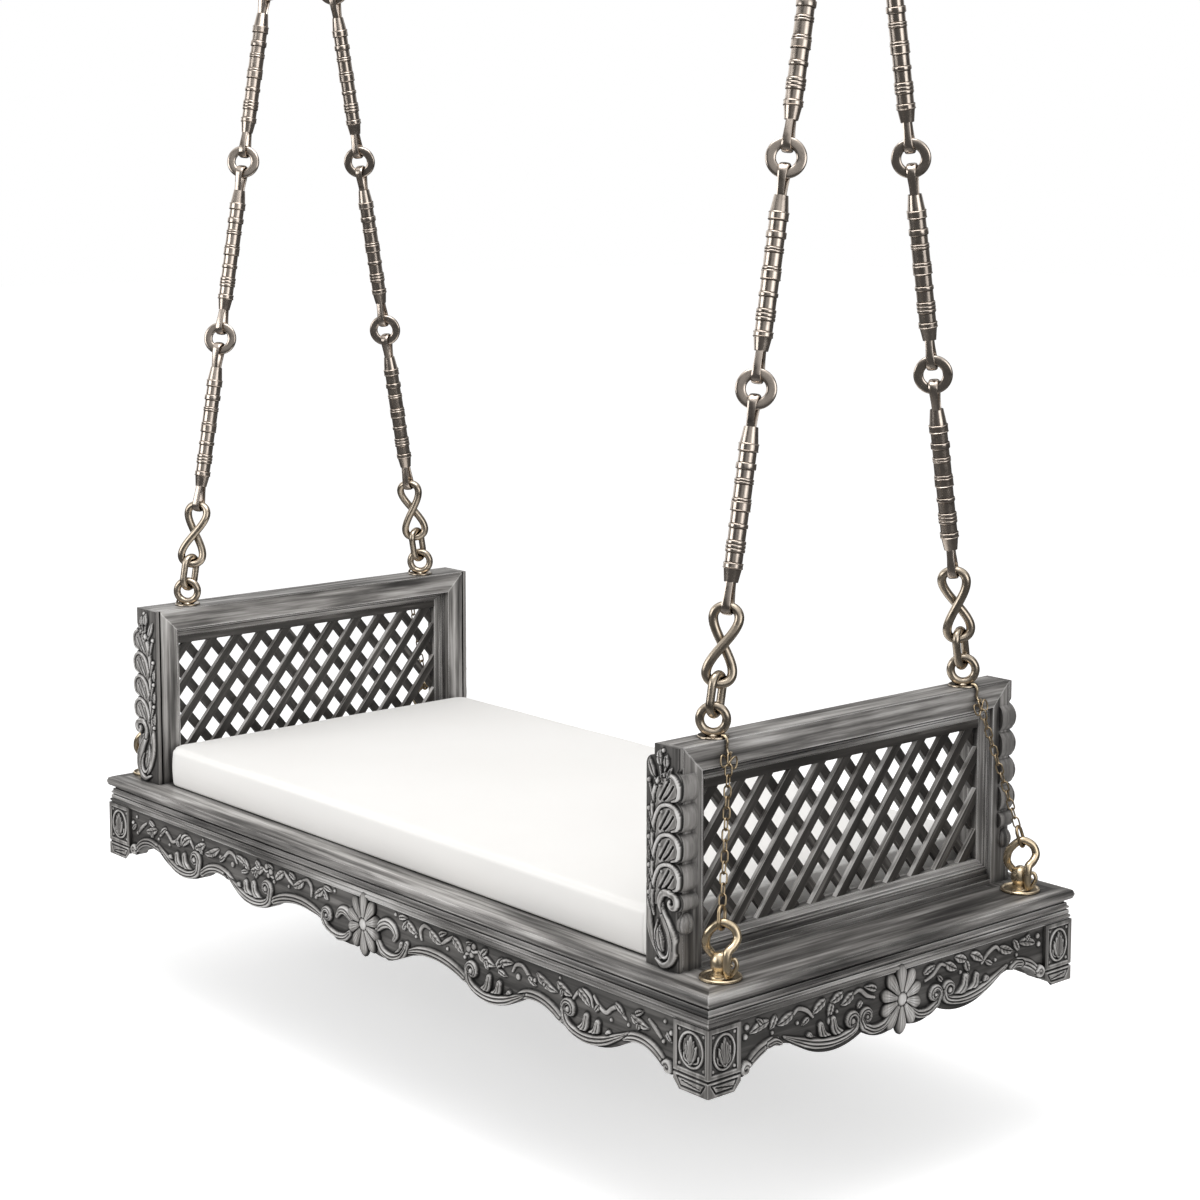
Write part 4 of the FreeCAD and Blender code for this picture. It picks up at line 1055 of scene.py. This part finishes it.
hook_y = 362.0
hook_x = {"left": half_length - 31.0, "right": half_length - 57.0}
hook_plate = {"left": 30.4, "right": 34.5}
hook_ring, hook_wire, hook_ball_z = 24.0, 6.9, 24.6
egg_wide, egg_high, egg_taper, egg_lift, egg_foot = 16.6, 18.5, 0.10, 1.5, 13.0
plate_rim = [(0.8, 0.1), (0.0, 1.2), (0.3, 3.8), (1.8, 5.2), (3.8, 4.6), (5.4, 3.0)]
hook_collar = [(20.5, 2.6), (18.2, 3.0), (17.4, 4.4), (17.2, 6.0), (15.2, 6.8), (14.9, 9.2),
               (13.4, 10.2), (13.8, 11.2), (12.6, 12.0)]
ring_shares = [
    (-0.28, 0.18, -0.35), (-0.86, 0.86, -0.30), (-0.96, 1.45, -0.10), (-0.72, 2.12, 0.0),
    (0.04, 2.70, 0.0), (0.82, 2.38, 0.0), (1.08, 1.76, 0.14), (0.86, 1.30, 0.45),
    (0.50, 0.98, 0.80), (0.42, 0.45, 0.92), (0.42, -0.20, 0.92), (0.46, -0.74, 0.84),
]
ring_thickness = [0.9, 1, 1, 1, 0.95, 1, 1.02, 1.04, 1.04, 1.02, 0.9, 0.5]
crown_share = ring_shares[4]
curl_shares = [(0.48, -0.86, 0.55), (0.80, -0.55, 0.55), (1.06, -0.08, 0.50), (0.96, 0.34, 0.46),
               (0.70, 0.36, 0.46), (0.62, 0.08, 0.50), (0.80, -0.06, 0.54)]
curl_thickness = [0.50, 0.50, 0.52, 0.50, 0.44, 0.38, 0.30]


def hook_curve(shares, thickness):
    """A wire of the deck hook's ring, from its row of points."""
    points = smooth_path(shares, 12)
    path = points[:, [0, 2, 1]] * (1, -1, 1) * hook_ring + (0, 0, hook_ball_z)
    return spun(sweep(path, circle(hook_wire, 20), False, None, thickness), chain_turn)


def deck_hook(end, side):
    plate = hook_plate[end]
    egg = [(egg_wide * math.sin(a) * (1 + egg_taper * math.cos(a)),
            hook_ball_z + egg_lift - egg_high * math.cos(a))
           for a in np.linspace(0.25, math.pi - 0.02, 20)]
    profile = [(0.4, 0.1)] + [(plate - inset, z) for inset, z in plate_rim] + hook_collar
    base = lathe(profile + [point for point in egg if point[1] > egg_foot], 44)
    wires = [hook_curve(ring_shares, ring_thickness), hook_curve(curl_shares, curl_thickness)]
    return shifted(join([base, *wires]), (sign[end] * hook_x[end], sign[side] * hook_y, 0))


# Safety chains: fine round links from the hook under each rail eye down to a snap link round
# the crown of the deck hook's ring, with a wire bow near the top

safety_wire, safety_pitch, safety_bend, safety_turn = 1.45, 17.0, 5.6, 24
snap_wire, snap_length, snap_bend, snap_room, snap_turn = 2.9, 36.0, 10.5, 0.8, 20
safety_top, safety_out = 338.0, 8.8
bow_half, bow_rise, bow_drop, bow_twist = 17.5, 9.5, 12.0, 1.6


def safety_chain(end, side):
    top = np.array([sign[end] * (outer_x[end] + safety_out), sign[side] * eye_y, safety_top])
    across = crown_share[0] * hook_ring * math.cos(math.radians(chain_turn))
    crown = np.array([sign[end] * hook_x[end] + across, sign[side] * hook_y + across,
                      hook_ball_z + crown_share[1] * hook_ring])
    run = np.linalg.norm(crown - top)
    up = (top - crown) / run
    level = np.cross((0, 1, 0), up)
    level /= np.linalg.norm(level)
    basis = np.stack([level, np.cross(up, level), up])
    finish = run + hook_wire + snap_room + snap_wire
    count = round((finish - snap_length) / safety_pitch)
    pitch = (finish - snap_length) / count
    link_length = pitch + 2 * safety_wire
    shapes = [spun(long_link(-(number + 1) * pitch - safety_wire, safety_bend, safety_wire,
                             link_length), 90 * number + safety_turn) for number in range(count)]
    shapes.append(spun(long_link(-finish, snap_bend, snap_wire, snap_length), snap_turn))
    t = np.linspace(0, TAU, 48, endpoint=False)
    bow = np.stack([bow_twist * np.cos(t), bow_half * np.sin(t),
                    bow_rise * np.sin(2 * t) - bow_drop], 1)
    shapes.append(sweep(bow, circle(safety_wire, 8), True, (1, 0, 0)))
    points, faces = join(shapes)
    return points @ basis + top, faces


def make_deck_hardware():
    for end in ends:
        hooks = [deck_hook(end, side) for side in sides]
        add_metal(end + "_hooks", hooks, brass, end + "_deck_hooks")
    for end in ends:
        add_piece(end + "_fine_chains", join([safety_chain(end, side) for side in sides]),
                  old_brass, [end + "_safety_chains", end + "_chain_clips"], "bed",
                  sharp=60.0)


# Rosettes: a flower of grooved petals round a dome, over the middle of each apron

rosette_z, rosette_high, rosette_wide, petal_count = -102.0, 60.8, 51.0, 10
petal_low, petal_crown, petal_valley, petal_groove = 4.6, 3.4, 3.2, 1.1
dome_edge, dome_radius, dome_low, dome_high, collar_radius = 12.5, 12.0, 4.0, 5.4, 14.5


def rosette_shape():
    """The flower with its back at out = 0; its columns are across, out and up."""
    count, rings = 240, 30
    turn = np.linspace(0, TAU, count, endpoint=False)
    phase = (turn * petal_count / TAU) % 1.0 * 2 - 1
    size = 1 / np.sqrt((np.cos(turn) / rosette_wide) ** 2 + (np.sin(turn) / rosette_high) ** 2)
    edge = size * (0.76 + 0.24 * (1 - np.abs(phase) ** 1.7))
    share = np.linspace(1, 0.02, rings)[:, None]
    radius = share * edge
    out = np.clip((share - 0.2) / 0.8, 0, 1)
    crown = arc_height(phase) * np.sin(math.pi * (0.15 + 0.85 * out)) ** 0.5
    valley = np.exp(-((1 - np.abs(phase)) / 0.10) ** 2) * np.clip(share * 1.6, 0, 1)
    grooves = sum(np.exp(-((phase - groove_at) / 0.09) ** 2) for groove_at in (-0.42, 0.0, 0.42))
    rise = petal_low + petal_crown * crown - petal_valley * valley
    rise = rise - petal_groove * grooves * np.sin(math.pi * np.clip(out, 0, 0.98))
    rise -= 2.4 * np.clip((share - 0.9) / 0.1, 0, 1) ** 2
    collar = 0.8 * np.clip(1 - np.abs(radius - collar_radius) / 2.2, 0, 1)
    dome = dome_low + dome_high * arc_height(radius / dome_radius)
    rise = np.where(radius < dome_edge, dome, rise + collar)
    rows = np.stack([radius * np.cos(turn), rise, radius * np.sin(turn)], -1)
    back = np.stack([edge * np.cos(turn), np.full(count, -1.0), edge * np.sin(turn)], -1)[None]
    mean = petal_low + petal_crown * 0.6
    # Higher petals lighter and the low ground darker: painted shade in the hollows, wear and a painted highlight
    # on the crests
    wear_and_shade = np.vstack([np.full((1, count), 0.4), np.clip(0.66 + (rise - mean) / 6.0, 0, 1)])
    relief = np.vstack([np.full((1, count), 0.3), np.clip(rise / 8.0, 0, 1)])
    fields = {"wear_and_shade": np.tile(wear_and_shade.ravel(), 4), "rise": np.tile(relief.ravel(), 4)}
    return np.concatenate([back, rows]).reshape(-1, 3), ring_faces(rings + 1, count), fields


def make_rosettes():
    points, faces, fields = rosette_shape()
    across, out, up = points.T
    up = rosette_z + up
    shapes = [(np.stack([across, sign[side] * (front_face + out), up], 1), faces) for side in sides]
    shapes += [(np.stack([sign[end] * (end_face + out), across, up], 1), faces) for end in ends]
    add_piece("rosettes", join(shapes), carved_z, ["apron_rosettes"], fields=fields, sharp=60.0)


# Corner blocks: two framed fields with a bud in an oval ring, over a grooved foot

foot_z, foot_cut, block_step = block_bottom + 25.0, 14.0, 1.2
field_frame, field_low, field_sunk, petal_ground = 8.0, 11.0, 3.2, 3.0

# A bud's petals: the tip's shift and tilt, and the half-width
bud_petals = ((-10.5, -6.0, 5.2), (10.5, 6.0, 5.2), (-5.4, -1.6, 5.6), (5.4, 1.6, 5.6),
              (0.0, 0.0, 6.6))


def block_ornament(relief, middle, width):
    top, low = apron_top - field_frame, foot_z + field_low
    half = width / 2 - field_frame
    relief.sink((middle - half, low), (middle + half, top), field_sunk)
    centre = np.array([middle, (top + low) / 2])
    wide, high = half - 5.0, (top - low) / 2 - 4.5
    ring = centre + circle(1.0, 59)[list(range(59)) + [0]] * (wide, high)
    relief.groove(centre + (ring - centre) * 0.86, 1.8, 2.0)
    relief.ridge(ring, 2.6, 3.4)
    for side in (-1, 1):
        for up in (-1, 1):
            relief.ridge([centre + (side * (wide + 1.0), up * (high - 0.5))], 3.4, 2.6)
    for shift, tilt, size in bud_petals:
        tip = centre + (shift + tilt * 0.2, high * (0.80 - abs(shift) * 0.05))
        relief.petal(centre + (shift * 0.25, -high * 0.72), tip, size, 5.0, petal_ground)
    for side in (-1, 1):
        curl = centre + (side * wide * 0.55, -high * 0.62)
        relief.ridge(smooth_path([centre + (0, -high * 0.8), curl, curl + (side * 1.5, 9)]),
                     2.0, 2.6)
    line = foot_z + 1.5
    relief.groove([(middle - width / 2 - 2, line), (middle + width / 2 + 2, line)], 2.0, 2.6)
    foot = [(middle + side * across, block_bottom + up) for side, across, up in
            ((-1, half, 19.5), (1, half, 19.5), (1, half - 9, 6.0), (-1, half - 9, 6.0))]
    relief.groove(foot + foot[:1], 1.7, 2.6)
    slash = [(middle - width / 4, block_bottom + 15), (middle + width / 4, block_bottom + 10)]
    relief.groove(slash, 1.4, 2.0)


def carve_block(end, side):
    """Both outer faces of a block as one grid, turned round the corner."""
    width = (block_x[1] - block_x[0], block_y[1] - block_y[0])
    u = np.linspace(0, sum(width), round(sum(width) / block_step))
    corner = np.abs(u - width[0]).argmin()
    u[corner] = width[0]
    cut = np.clip(foot_cut - np.minimum(u, sum(width) - u), 0, None)
    rows = round((apron_top - block_bottom) / block_step)
    t = np.linspace(0, 1, rows)[None]
    z = apron_top + ((block_bottom + cut)[:, None] - apron_top) * t
    across = np.repeat(u[:, None], rows, 1)
    relief = Relief(across, z)
    block_ornament(relief, width[0] / 2, width[0])
    block_ornament(relief, width[0] + width[1] / 2, width[1])
    height = relief.height
    height[corner] = np.minimum(height[corner], 0)
    x = np.where(across < width[0], block_x[0] + across, block_x[1] + height)
    y = np.where(across <= width[0], block_y[0] - height, block_y[0] + across - width[0])
    points = np.stack([sign[end] * x, -sign[side] * y, z], -1).reshape(-1, 3)
    back = [[sign[end] * block_x[0], -sign[side] * block_y[1], level]
            for level in (apron_top, block_bottom + foot_cut)]
    wear_and_shade = relief.wear_and_shade(1.2)
    # The block's corner edge lighter: wear and a painted highlight
    wear_and_shade[corner] = 0.85
    number = np.arange(len(u) * rows).reshape(len(u), rows)
    faces = np.stack([number[:-1, :-1], number[1:, :-1], number[1:, 1:], number[:-1, 1:]], -1)
    first = len(points)
    faces = faces.reshape(-1, 4).tolist()
    faces += [[*number[:, 0].tolist(), first], [*number[:, -1].tolist(), first + 1],
              [*number[0].tolist(), first + 1, first], [*number[-1].tolist(), first + 1, first]]
    fields = {"wear_and_shade": np.concatenate([wear_and_shade.ravel(), [0.5, 0.5]]),
              "rise": np.concatenate([np.clip(0.42 + height.ravel() / 8.0, 0, 1), [0.4, 0.4]])}
    name = side + "_" + end
    add_piece(name + "_block_carved", (np.vstack([points, back]), faces), carved_z,
              [name + "_corner_block"], fields=fields)


# Posts: a carved facing with lobes that run on round its outer corner

post_width, panel_height, facing_thick, lobe_depth, post_step = 76.0, 360.0, 11.8, 34.0, 1.3
lobe_first, lobe_pitch, lobe_count, lobe_rise, lobe_notch = 128.0, 48.0, 4, 9.0, 15.0
lobe_last = lobe_first + lobe_count * lobe_pitch
curl_low, breast_high = 98.0, 60.0
shoulder_drop, shoulder_radius, edge_round, edge_fall = 19.0, 17.0, 3.0, 2.2
post_face = half_width - 43.0
outer_x = {"left": half_length - 62.0, "right": half_length - 114.0}
rail_thick = {"left": 76.0, "right": 57.0}

# The right front post's figures under its lobes, with u from 0 at its inner edge: a path, its
# half-widths, heights, flatness and how much ground is cut clear beside it
swan = ([(38, 106), (43, 92), (54, 76), (65, 56), (68, 34), (60, 15), (44, 7), (27, 14)],
        [6, 7.5, 9, 9.5, 8.5, 6.5, 5, 2.5], [6.5, 7.5, 8, 8, 8, 7.5, 7, 5], 4, 0.25)
neck = ([(16, 134), (12, 104), (11, 78), (16, 54), (26, 34), (38, 18)],
        [3, 5, 6, 6, 5, 3], [5.5, 6.5, 7, 7, 6.5, 5], 3, 0.25)
inner_ring = ([(30, 78), (26, 56), (31, 34), (43, 20), (55, 25), (58, 42), (51, 58)],
              [1.4, 2.8, 3.2, 3.2, 3.0, 2.6, 1.4], [4, 6, 6.5, 6.5, 6.5, 5.5, 4], 2, 0.2)
hook_stem, hook_middle = [(40, 94), (36, 110), (44, 124), (61, 127)], (64, 112)

# A lobe, with z from its foot: its raised pad, two slits and a vein, and its rolled rim
lobe_pad = [(24, -22), (33, 2), (50, 20), (61, 23)]
lobe_slits = (([(36, 2), (46, 17), (57, 34)], 2.5, 5.0), ([(46, 2), (56, 12), (67, 27)], 2.2, 4.6),
              ([(25, -6), (29, 16), (40, 35)], 1.2, 2.6))
lobe_rim = [(19, -40), (19, -12), (24, 14), (36, 36), (54, 44), (70, 40.5), (78.5, 30), (79.5, 19),
            (75, 8), (62, 2)]
lobe_balls = ((42, 31), (38, 25))
flower_stems = (([(40, 300), (37, 316), (35, 330)], 1.8), ([(42, 300), (45, 316), (50, 328)], 1.6),
                ([(30, 296), (22, 308), (14, 326)], 1.8))
flower_leaves = (((36, 327), (34, 353), 6.4), ((50, 326), (50, 347), 5.4),
                 ((24, 306), (9, 337), 6.0), ((52, 306), (62, 328), 4.0))


def lobe_edge(z):
    """How far the facing's outer edge stands past the post's outer face at each height."""
    out = np.interp(z, [0, breast_high, breast_high + 8, curl_low, lobe_last, lobe_last + 8,
                        panel_height], [0, 0, -3, -3, -5, 0, 0])
    stops = [curl_low] + [lobe_first + number * lobe_pitch for number in range(lobe_count + 1)]
    for low, high in zip(stops, stops[1:]):
        t = np.abs(z - (low + high) / 2) / ((high - low) / 2)
        round_share = np.clip(1 - t ** 2.25, 0, 1) ** 0.5
        out = np.where(t <= 1, lobe_rise - lobe_notch * (1 - round_share), out)
    return out


def post_ornament(relief):
    def figure(points, widths, heights, full, moat):
        relief.stroke(smooth_path(points), widths, heights, moat=moat, full=full)

    for number in reversed(range(lobe_count)):
        low = (0, lobe_first + number * lobe_pitch)
        figure(np.add(lobe_pad, low), [5, 14, 21, 21], [2.5, 4.6, 5.0, 4.8], 6, 0.0)
        for path, half, depth in lobe_slits:
            relief.groove(smooth_path(np.add(path, low)), half, depth)
        relief.ridge([np.add(lobe_balls[number % 2], low)], 2.8, 3.0)
        figure(np.add(lobe_rim, low), [2.2, 3.4, 3.8, 3.8, 3.7, 3.6, 3.4, 3.2, 3.0, 2.0],
               [4.5, 6.5, 7.6, 8, 8, 8, 8, 7.6, 6.6, 4.5], 3, 0.35)
    figure(*swan)
    relief.groove(smooth_path([(45, 92), (58, 74), (68, 52), (69, 36)]), 1.2, 1.8)
    figure(*neck)
    hook = np.vstack([smooth_path(hook_stem)[:-1], spiral(hook_middle, (13.5, 4.0), (100, -215))])
    relief.stroke(hook, [4, 5.4, 6.0, 5.8, 5.4, 4.8, 3.4], [6.5, 7.5, 8, 8.5, 8.5, 8, 7], full=3)
    relief.ridge([(45, 100)], 2.4, 3.0)
    figure(*inner_ring)
    relief.leaf((42, 27), (34, 70), 8.0, 6.5, 0.10, veins=0, moat=0.25)
    relief.groove(smooth_path([(44, 34), (42, 48), (37, 60)]), 1.3, 2.6)
    for z in (298, 252, 206, 160, 116):
        tendril = smooth_path([(10, z), (15, z - 14), (21, z - 32)])
        relief.stroke(tendril, [2.0, 2.4, 2.0], [5, 5, 4])
        relief.dome((9, z + 2), 4.2, 6.0)
    for z in (230, 184, 138):
        relief.leaf((9, z - 16), (7, z + 10), 4.2, 4.5, 0.05, veins=0)
    for path, wide in flower_stems:
        relief.stroke(smooth_path(path), [wide, wide], [4.5, 5.0])
    for base, tip, width in flower_leaves:
        relief.leaf(base, tip, width, 6.5, 0.04, veins=0)
    relief.dome((42, 352), 3.6, 5.0)


def carve_post(end, side):
    z = np.linspace(0, panel_height, round(panel_height / post_step))
    edge = post_width + lobe_edge(z)
    rail = post_width - rail_thick[end]
    low_top = panel_height - shoulder_drop
    inner = np.zeros_like(z)
    if rail > shoulder_radius:
        into = np.clip(z - (low_top - shoulder_radius), 0, shoulder_radius)
        inner = shoulder_radius * (1 - arc_height(into / shoulder_radius))
        inner = np.where(z > low_top, rail, inner)
    t = np.linspace(0, 1, 58)[None]
    across = inner[:, None] + (edge - inner)[:, None] * t
    heights = np.repeat(z[:, None], t.shape[1], 1)
    lobes = (z > curl_low) & (z < lobe_last)
    thick = (np.full(len(z), facing_thick), np.where(lobes, lobe_depth, facing_thick))

    def draw(relief):
        post_ornament(relief)
        from_edge = (edge[:, None] - across) / edge_round
        relief.height -= edge_fall * np.clip(1 - from_edge, 0, 1) ** 2

    def to_space(u, up, out):
        x = outer_x[end] - post_width + u
        return np.stack([sign[end] * x, sign[side] * (post_face + out), up], -1)

    name = side + "_" + end
    carved_board(name + "_post_carved", name + "_post_carving", across, heights, draw, to_space,
                 thick, carved_z)


# The ribbed bud that hangs under the curl on the outer side of each post
bud_size, bud_in, bud_back, bud_z, bud_ribs = (12.5, 17.0, 18.5), 2.0, 16.0, 79.0, 5


def side_bud(end, side):
    profile = [(math.sin(a) * (1 + 0.12 * math.cos(a)), -math.cos(a))
               for a in np.linspace(0.05, math.pi - 0.05, 18)]
    points, faces = lathe(profile, 60)
    turn = np.arctan2(points[:, 1], points[:, 0])
    size = 1 - 0.17 * np.exp(-((turn * bud_ribs / TAU + 0.5) % 1 - 0.5) ** 2 / 0.006)
    points = points * np.stack([size, size, np.ones(len(size))], 1) * bud_size
    at = (outer_x[end] - bud_in, post_face - bud_back, bud_z)
    return (points + at) * (sign[end], sign[side], 1), faces


# Mouldings: beaded profiles with mitred corners, round the lattices and under the deck

def bead(centre, radius, count=7):
    """The outer half of a round bead, as (inset, out) points."""
    angle = np.radians(np.linspace(-88, 88, count))
    return [(centre[0] + radius * math.sin(a), centre[1] + radius * math.cos(a)) for a in angle]


# Half the lattice frame's profile, as (inset, out), and the header strip's, as (out, up)
panel_face = ([(0, 20.4), (2.4, 20.4)] + bead((5.0, 18.6), 2.3) + [(7.6, 17.8), (8.3, 17.6)]
              + bead((10.3, 16.6), 1.9)
              + [(12.6, 15.8), (13.3, 15.2), (17.0, 12.8), (17.6, 11.6), (19.2, 11.4), (20, 10.6)])
header_section = [(9.8, -15), (11.6, -14.6), (12.2, -13.6), (12.2, 0.5), (9.8, 0.5)]
panel_rim = 20.0

# The stepped moulding under the deck: each point is an inset from the deck's edge and a depth
deck_rows = ([(30, 20), (13, 20), (13, 24.4), (9.6, 25.2), (9.2, 29.6), (8.4, 30.4)]
             + [(14.0 - out, down) for down, out in bead((32.8, 5.6), 2.2)]
             + [(9.8, 35.6), (9.8, 37.2), (6.8, 37.8), (6.4, 43.6), (7.6, 44.2), (7.6, 45.2)]
             + [(11.0 - out, down) for down, out in bead((48.6, 3.6), 3.1)]
             + [(6.8, 52.0), (6.8, 54.0), (30, 54)])
corner_a, corner_b = (-1, 1, 1, -1), (-1, -1, 1, 1)


def extruded(sections):
    """A closed section carried in a straight line from its first place to its last."""
    rows = np.array(sections, float)
    return rows.reshape(-1, 3), ring_faces(*rows.shape[:2])


def mitred(profile, corner):
    """Four lengths with a common profile; corner gives each corner's place for a point."""
    rings = [[corner(number, *point) for point in profile] for number in range(4)]
    return [extruded([rings[number - 1], rings[number]]) for number in (1, 2, 3, 0)]


def panel_moulding(end):
    low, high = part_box(end + "_panel_moulding")
    low_z, high_z, half_y = reach(low.z), reach(high.z), high.y / MM

    def corner(number, inset, out):
        z = low_z + inset if number < 2 else high_z - inset
        return sign[end] * hang_x[end] + out, (half_y - inset) * corner_a[number], z

    lengths = mitred(panel_face + [(inset, -out) for inset, out in panel_face[::-1]], corner)
    add_piece(end + "_moulding_level", join(lengths[0::2]), wood_y, [end + "_panel_moulding"],
              sharp=50.0)
    add_piece(end + "_moulding_upright", join(lengths[1::2]), wood_z, sharp=50.0)
    strips = [extruded([[hanger_at(end, y, high_z - panel_rim + z) + np.array([side * x, 0, 0])
                         for x, z in header_section]
                        for y in (panel_rim - half_y, half_y - panel_rim)]) for side in (1, -1)]
    add_piece(end + "_lattice_header", join(strips), header_wood, sharp=50.0)


def deck_moulding():
    def corner(number, inset, down):
        return ((half_length - inset) * corner_a[number], (half_width - inset) * corner_b[number],
                -down)

    add_piece("deck_moulding_beaded", join(mitred(deck_rows, corner)), wood_mitred,
              ["deck_moulding"], sharp=50.0)


# Mattress: a boxed foam pad in white cotton, rounded at the left end and seamed at the right

mattress_gap = 7.0
mattress_low_x = -(outer_x["left"] - post_width) + mattress_gap
mattress_high_x = outer_x["right"] - post_width - mattress_gap
mattress_x = (mattress_low_x + mattress_high_x) / 2
mattress_half_x = (mattress_high_x - mattress_low_x) / 2
mattress_half_y = half_width - 60.0
mattress_base, mattress_top, mattress_crown = 0.5, 81.3, 5.5
top_round, base_round, corner_shrink, corner_least = 16.0, 7.0, 0.7, 3.0
mattress_corners = ((1, -1, 10.0, -90), (1, 1, 10.0, 0), (-1, 1, 30.0, 90), (-1, -1, 30.0, 180))
seam_in, seam_line = 7.5, 17.0
side_pull, side_wave, top_wave = 3.0, 0.8, 0.55


def mattress_loop(inset):
    """The outline at one inset from the edge; every loop has its points in the same places."""
    half = np.array([mattress_half_x, mattress_half_y]) - inset
    beside_seam = 1 - seam_in / mattress_half_x + np.array([-3, -1.6, -0.8, 0, 0.8, 1.6, 3]) / 700.0
    long_t = np.sort(np.concatenate([np.linspace(-1, 1, 90)[1:-1], beside_seam]))
    short_t = np.linspace(-1, 1, 46)[1:-1]
    bends = []
    for sx, sy, radius, first in mattress_corners:
        radius = max(radius - inset * corner_shrink, corner_least)
        angle = np.radians(np.linspace(first, first + 90, 12))
        middle = np.array([sx, sy]) * (half - radius)
        bends.append(middle + radius * np.stack([np.cos(angle), np.sin(angle)], 1))
    points = []
    for bend, after, t in zip(bends, bends[1:] + bends[:1],
                              (short_t, -long_t[::-1], short_t, long_t)):
        across = bend[-1] + (after[0] - bend[-1]) * (t[:, None] * 0.5 + 0.5)
        points += [bend, across]
    return np.vstack(points)


def mattress_rings():
    """Outlines and their heights, from the flat underside round to the middle of the top."""
    rings = [(mattress_loop(base_round * 1.6), mattress_base)]
    for a in np.radians(np.linspace(8, 90, 6)):
        rings.append((mattress_loop(base_round * (1 - math.sin(a))),
                      mattress_base + base_round * (1 - math.cos(a))))
    wall = mattress_top - mattress_base - base_round - top_round
    for share in np.linspace(0, 1, 12)[1:-1]:
        rings.append((mattress_loop(-1.6 * math.sin(math.pi * share)),
                      mattress_base + base_round + wall * share))
    for degrees in np.linspace(0, 86, 12):
        a = math.radians(degrees)
        seam = 0.7 * math.exp(-((degrees - 38) / 7) ** 2)
        rings.append((mattress_loop(top_round * (1 - math.cos(a)) + seam),
                      mattress_top - top_round + top_round * math.sin(a) - seam))
    rings += [(mattress_loop(inset), mattress_top) for inset in (18.5, 24, 32, 46, 65, 90)]
    widest = rings[-1][0]
    return rings + [(widest * share, mattress_top) for share in np.linspace(1, 0.03, 22)[1:]]


def make_mattress():
    rings = mattress_rings()
    x, y, z = np.concatenate([np.column_stack([row, np.full(len(row), height)])
                              for row, height in rings]).T
    inset = np.minimum(mattress_half_x - np.abs(x), mattress_half_y - np.abs(y))
    on_top = z >= mattress_top - 0.8
    ripple = np.sin(x / 61 + 1.3) * np.sin(y / 83 + 0.4) + 0.6 * np.sin(x / 147 + y / 101)
    crown = mattress_crown * (1 - np.exp(-np.clip(inset - 12, 0, None) / 120.0))
    z = z + np.where(on_top, crown + top_wave * ripple, 0)
    high = np.clip(z / mattress_top, 0, 1)
    soft = side_wave * np.sin(x / 97 + 0.7) * np.sin(math.pi * high)
    pull = (side_pull * np.cos(math.pi / 2 * x / mattress_half_x)
            * np.clip(np.abs(y) / mattress_half_y, 0, 1) ** 4)
    y = y - np.sign(y) * (pull - soft * (np.abs(y) > mattress_half_y - 14))
    seam = 1.1 * np.exp(-((x - (mattress_half_x - seam_line)) / 1.3) ** 2)
    y = y - np.sign(y) * seam * (np.abs(y) > mattress_half_y - 16) * (z < mattress_top)
    shape = np.stack([x + mattress_x, y, z], 1), ring_faces(len(rings), len(rings[0][0]))
    pad = add_piece("mattress_cover", shape, white_cotton, ["mattress"], "pad",
                    sharp=75.0)


def dress_frame():
    """Materials for the nodes whose own shape stays."""
    dress = {"deck_border_boards": wood_mitred, "deck_panel": wood_x, "deck_battens": wood_y}
    for end in ends:
        rising = "outer" if end == "right" else "inner"
        for layer in ("outer", "inner"):
            slats = rising_slats if layer == rising else falling_slats
            dress[end + "_lattice_" + layer + "_slats"] = slats
        for material, parts in ((wood_y, ("_top_rail", "_bottom_rail")), (brass, ("_chain_hooks",)),
                                (steel, ("_ceiling_plate", "_shackle_bow", "_shackle_pin"))):
            for part in parts:
                dress[end + part] = material
        for side in sides:
            dress[side + "_" + end + "_post"] = wood_z
    for node, material in dress.items():
        mesh = frame["nodes"][node].data
        mesh.materials.clear()
        mesh.materials.append(material)


dress_frame()
carve_aprons(sides, "front", 0, block_x[0], front_face, front_ornament, carved_x)
carve_aprons(ends, "right", 1, -block_y[1], end_face, end_ornament, carved_y)
make_rosettes()
for end in ends:
    for side in sides:
        carve_block(end, side)
        carve_post(end, side)
    panel_moulding(end)
deck_moulding()
add_piece("post_buds", join([side_bud(end, side) for end in ends for side in sides]), wood_z,
          sharp=60.0)
make_chains()
make_deck_hardware()
make_mattress()
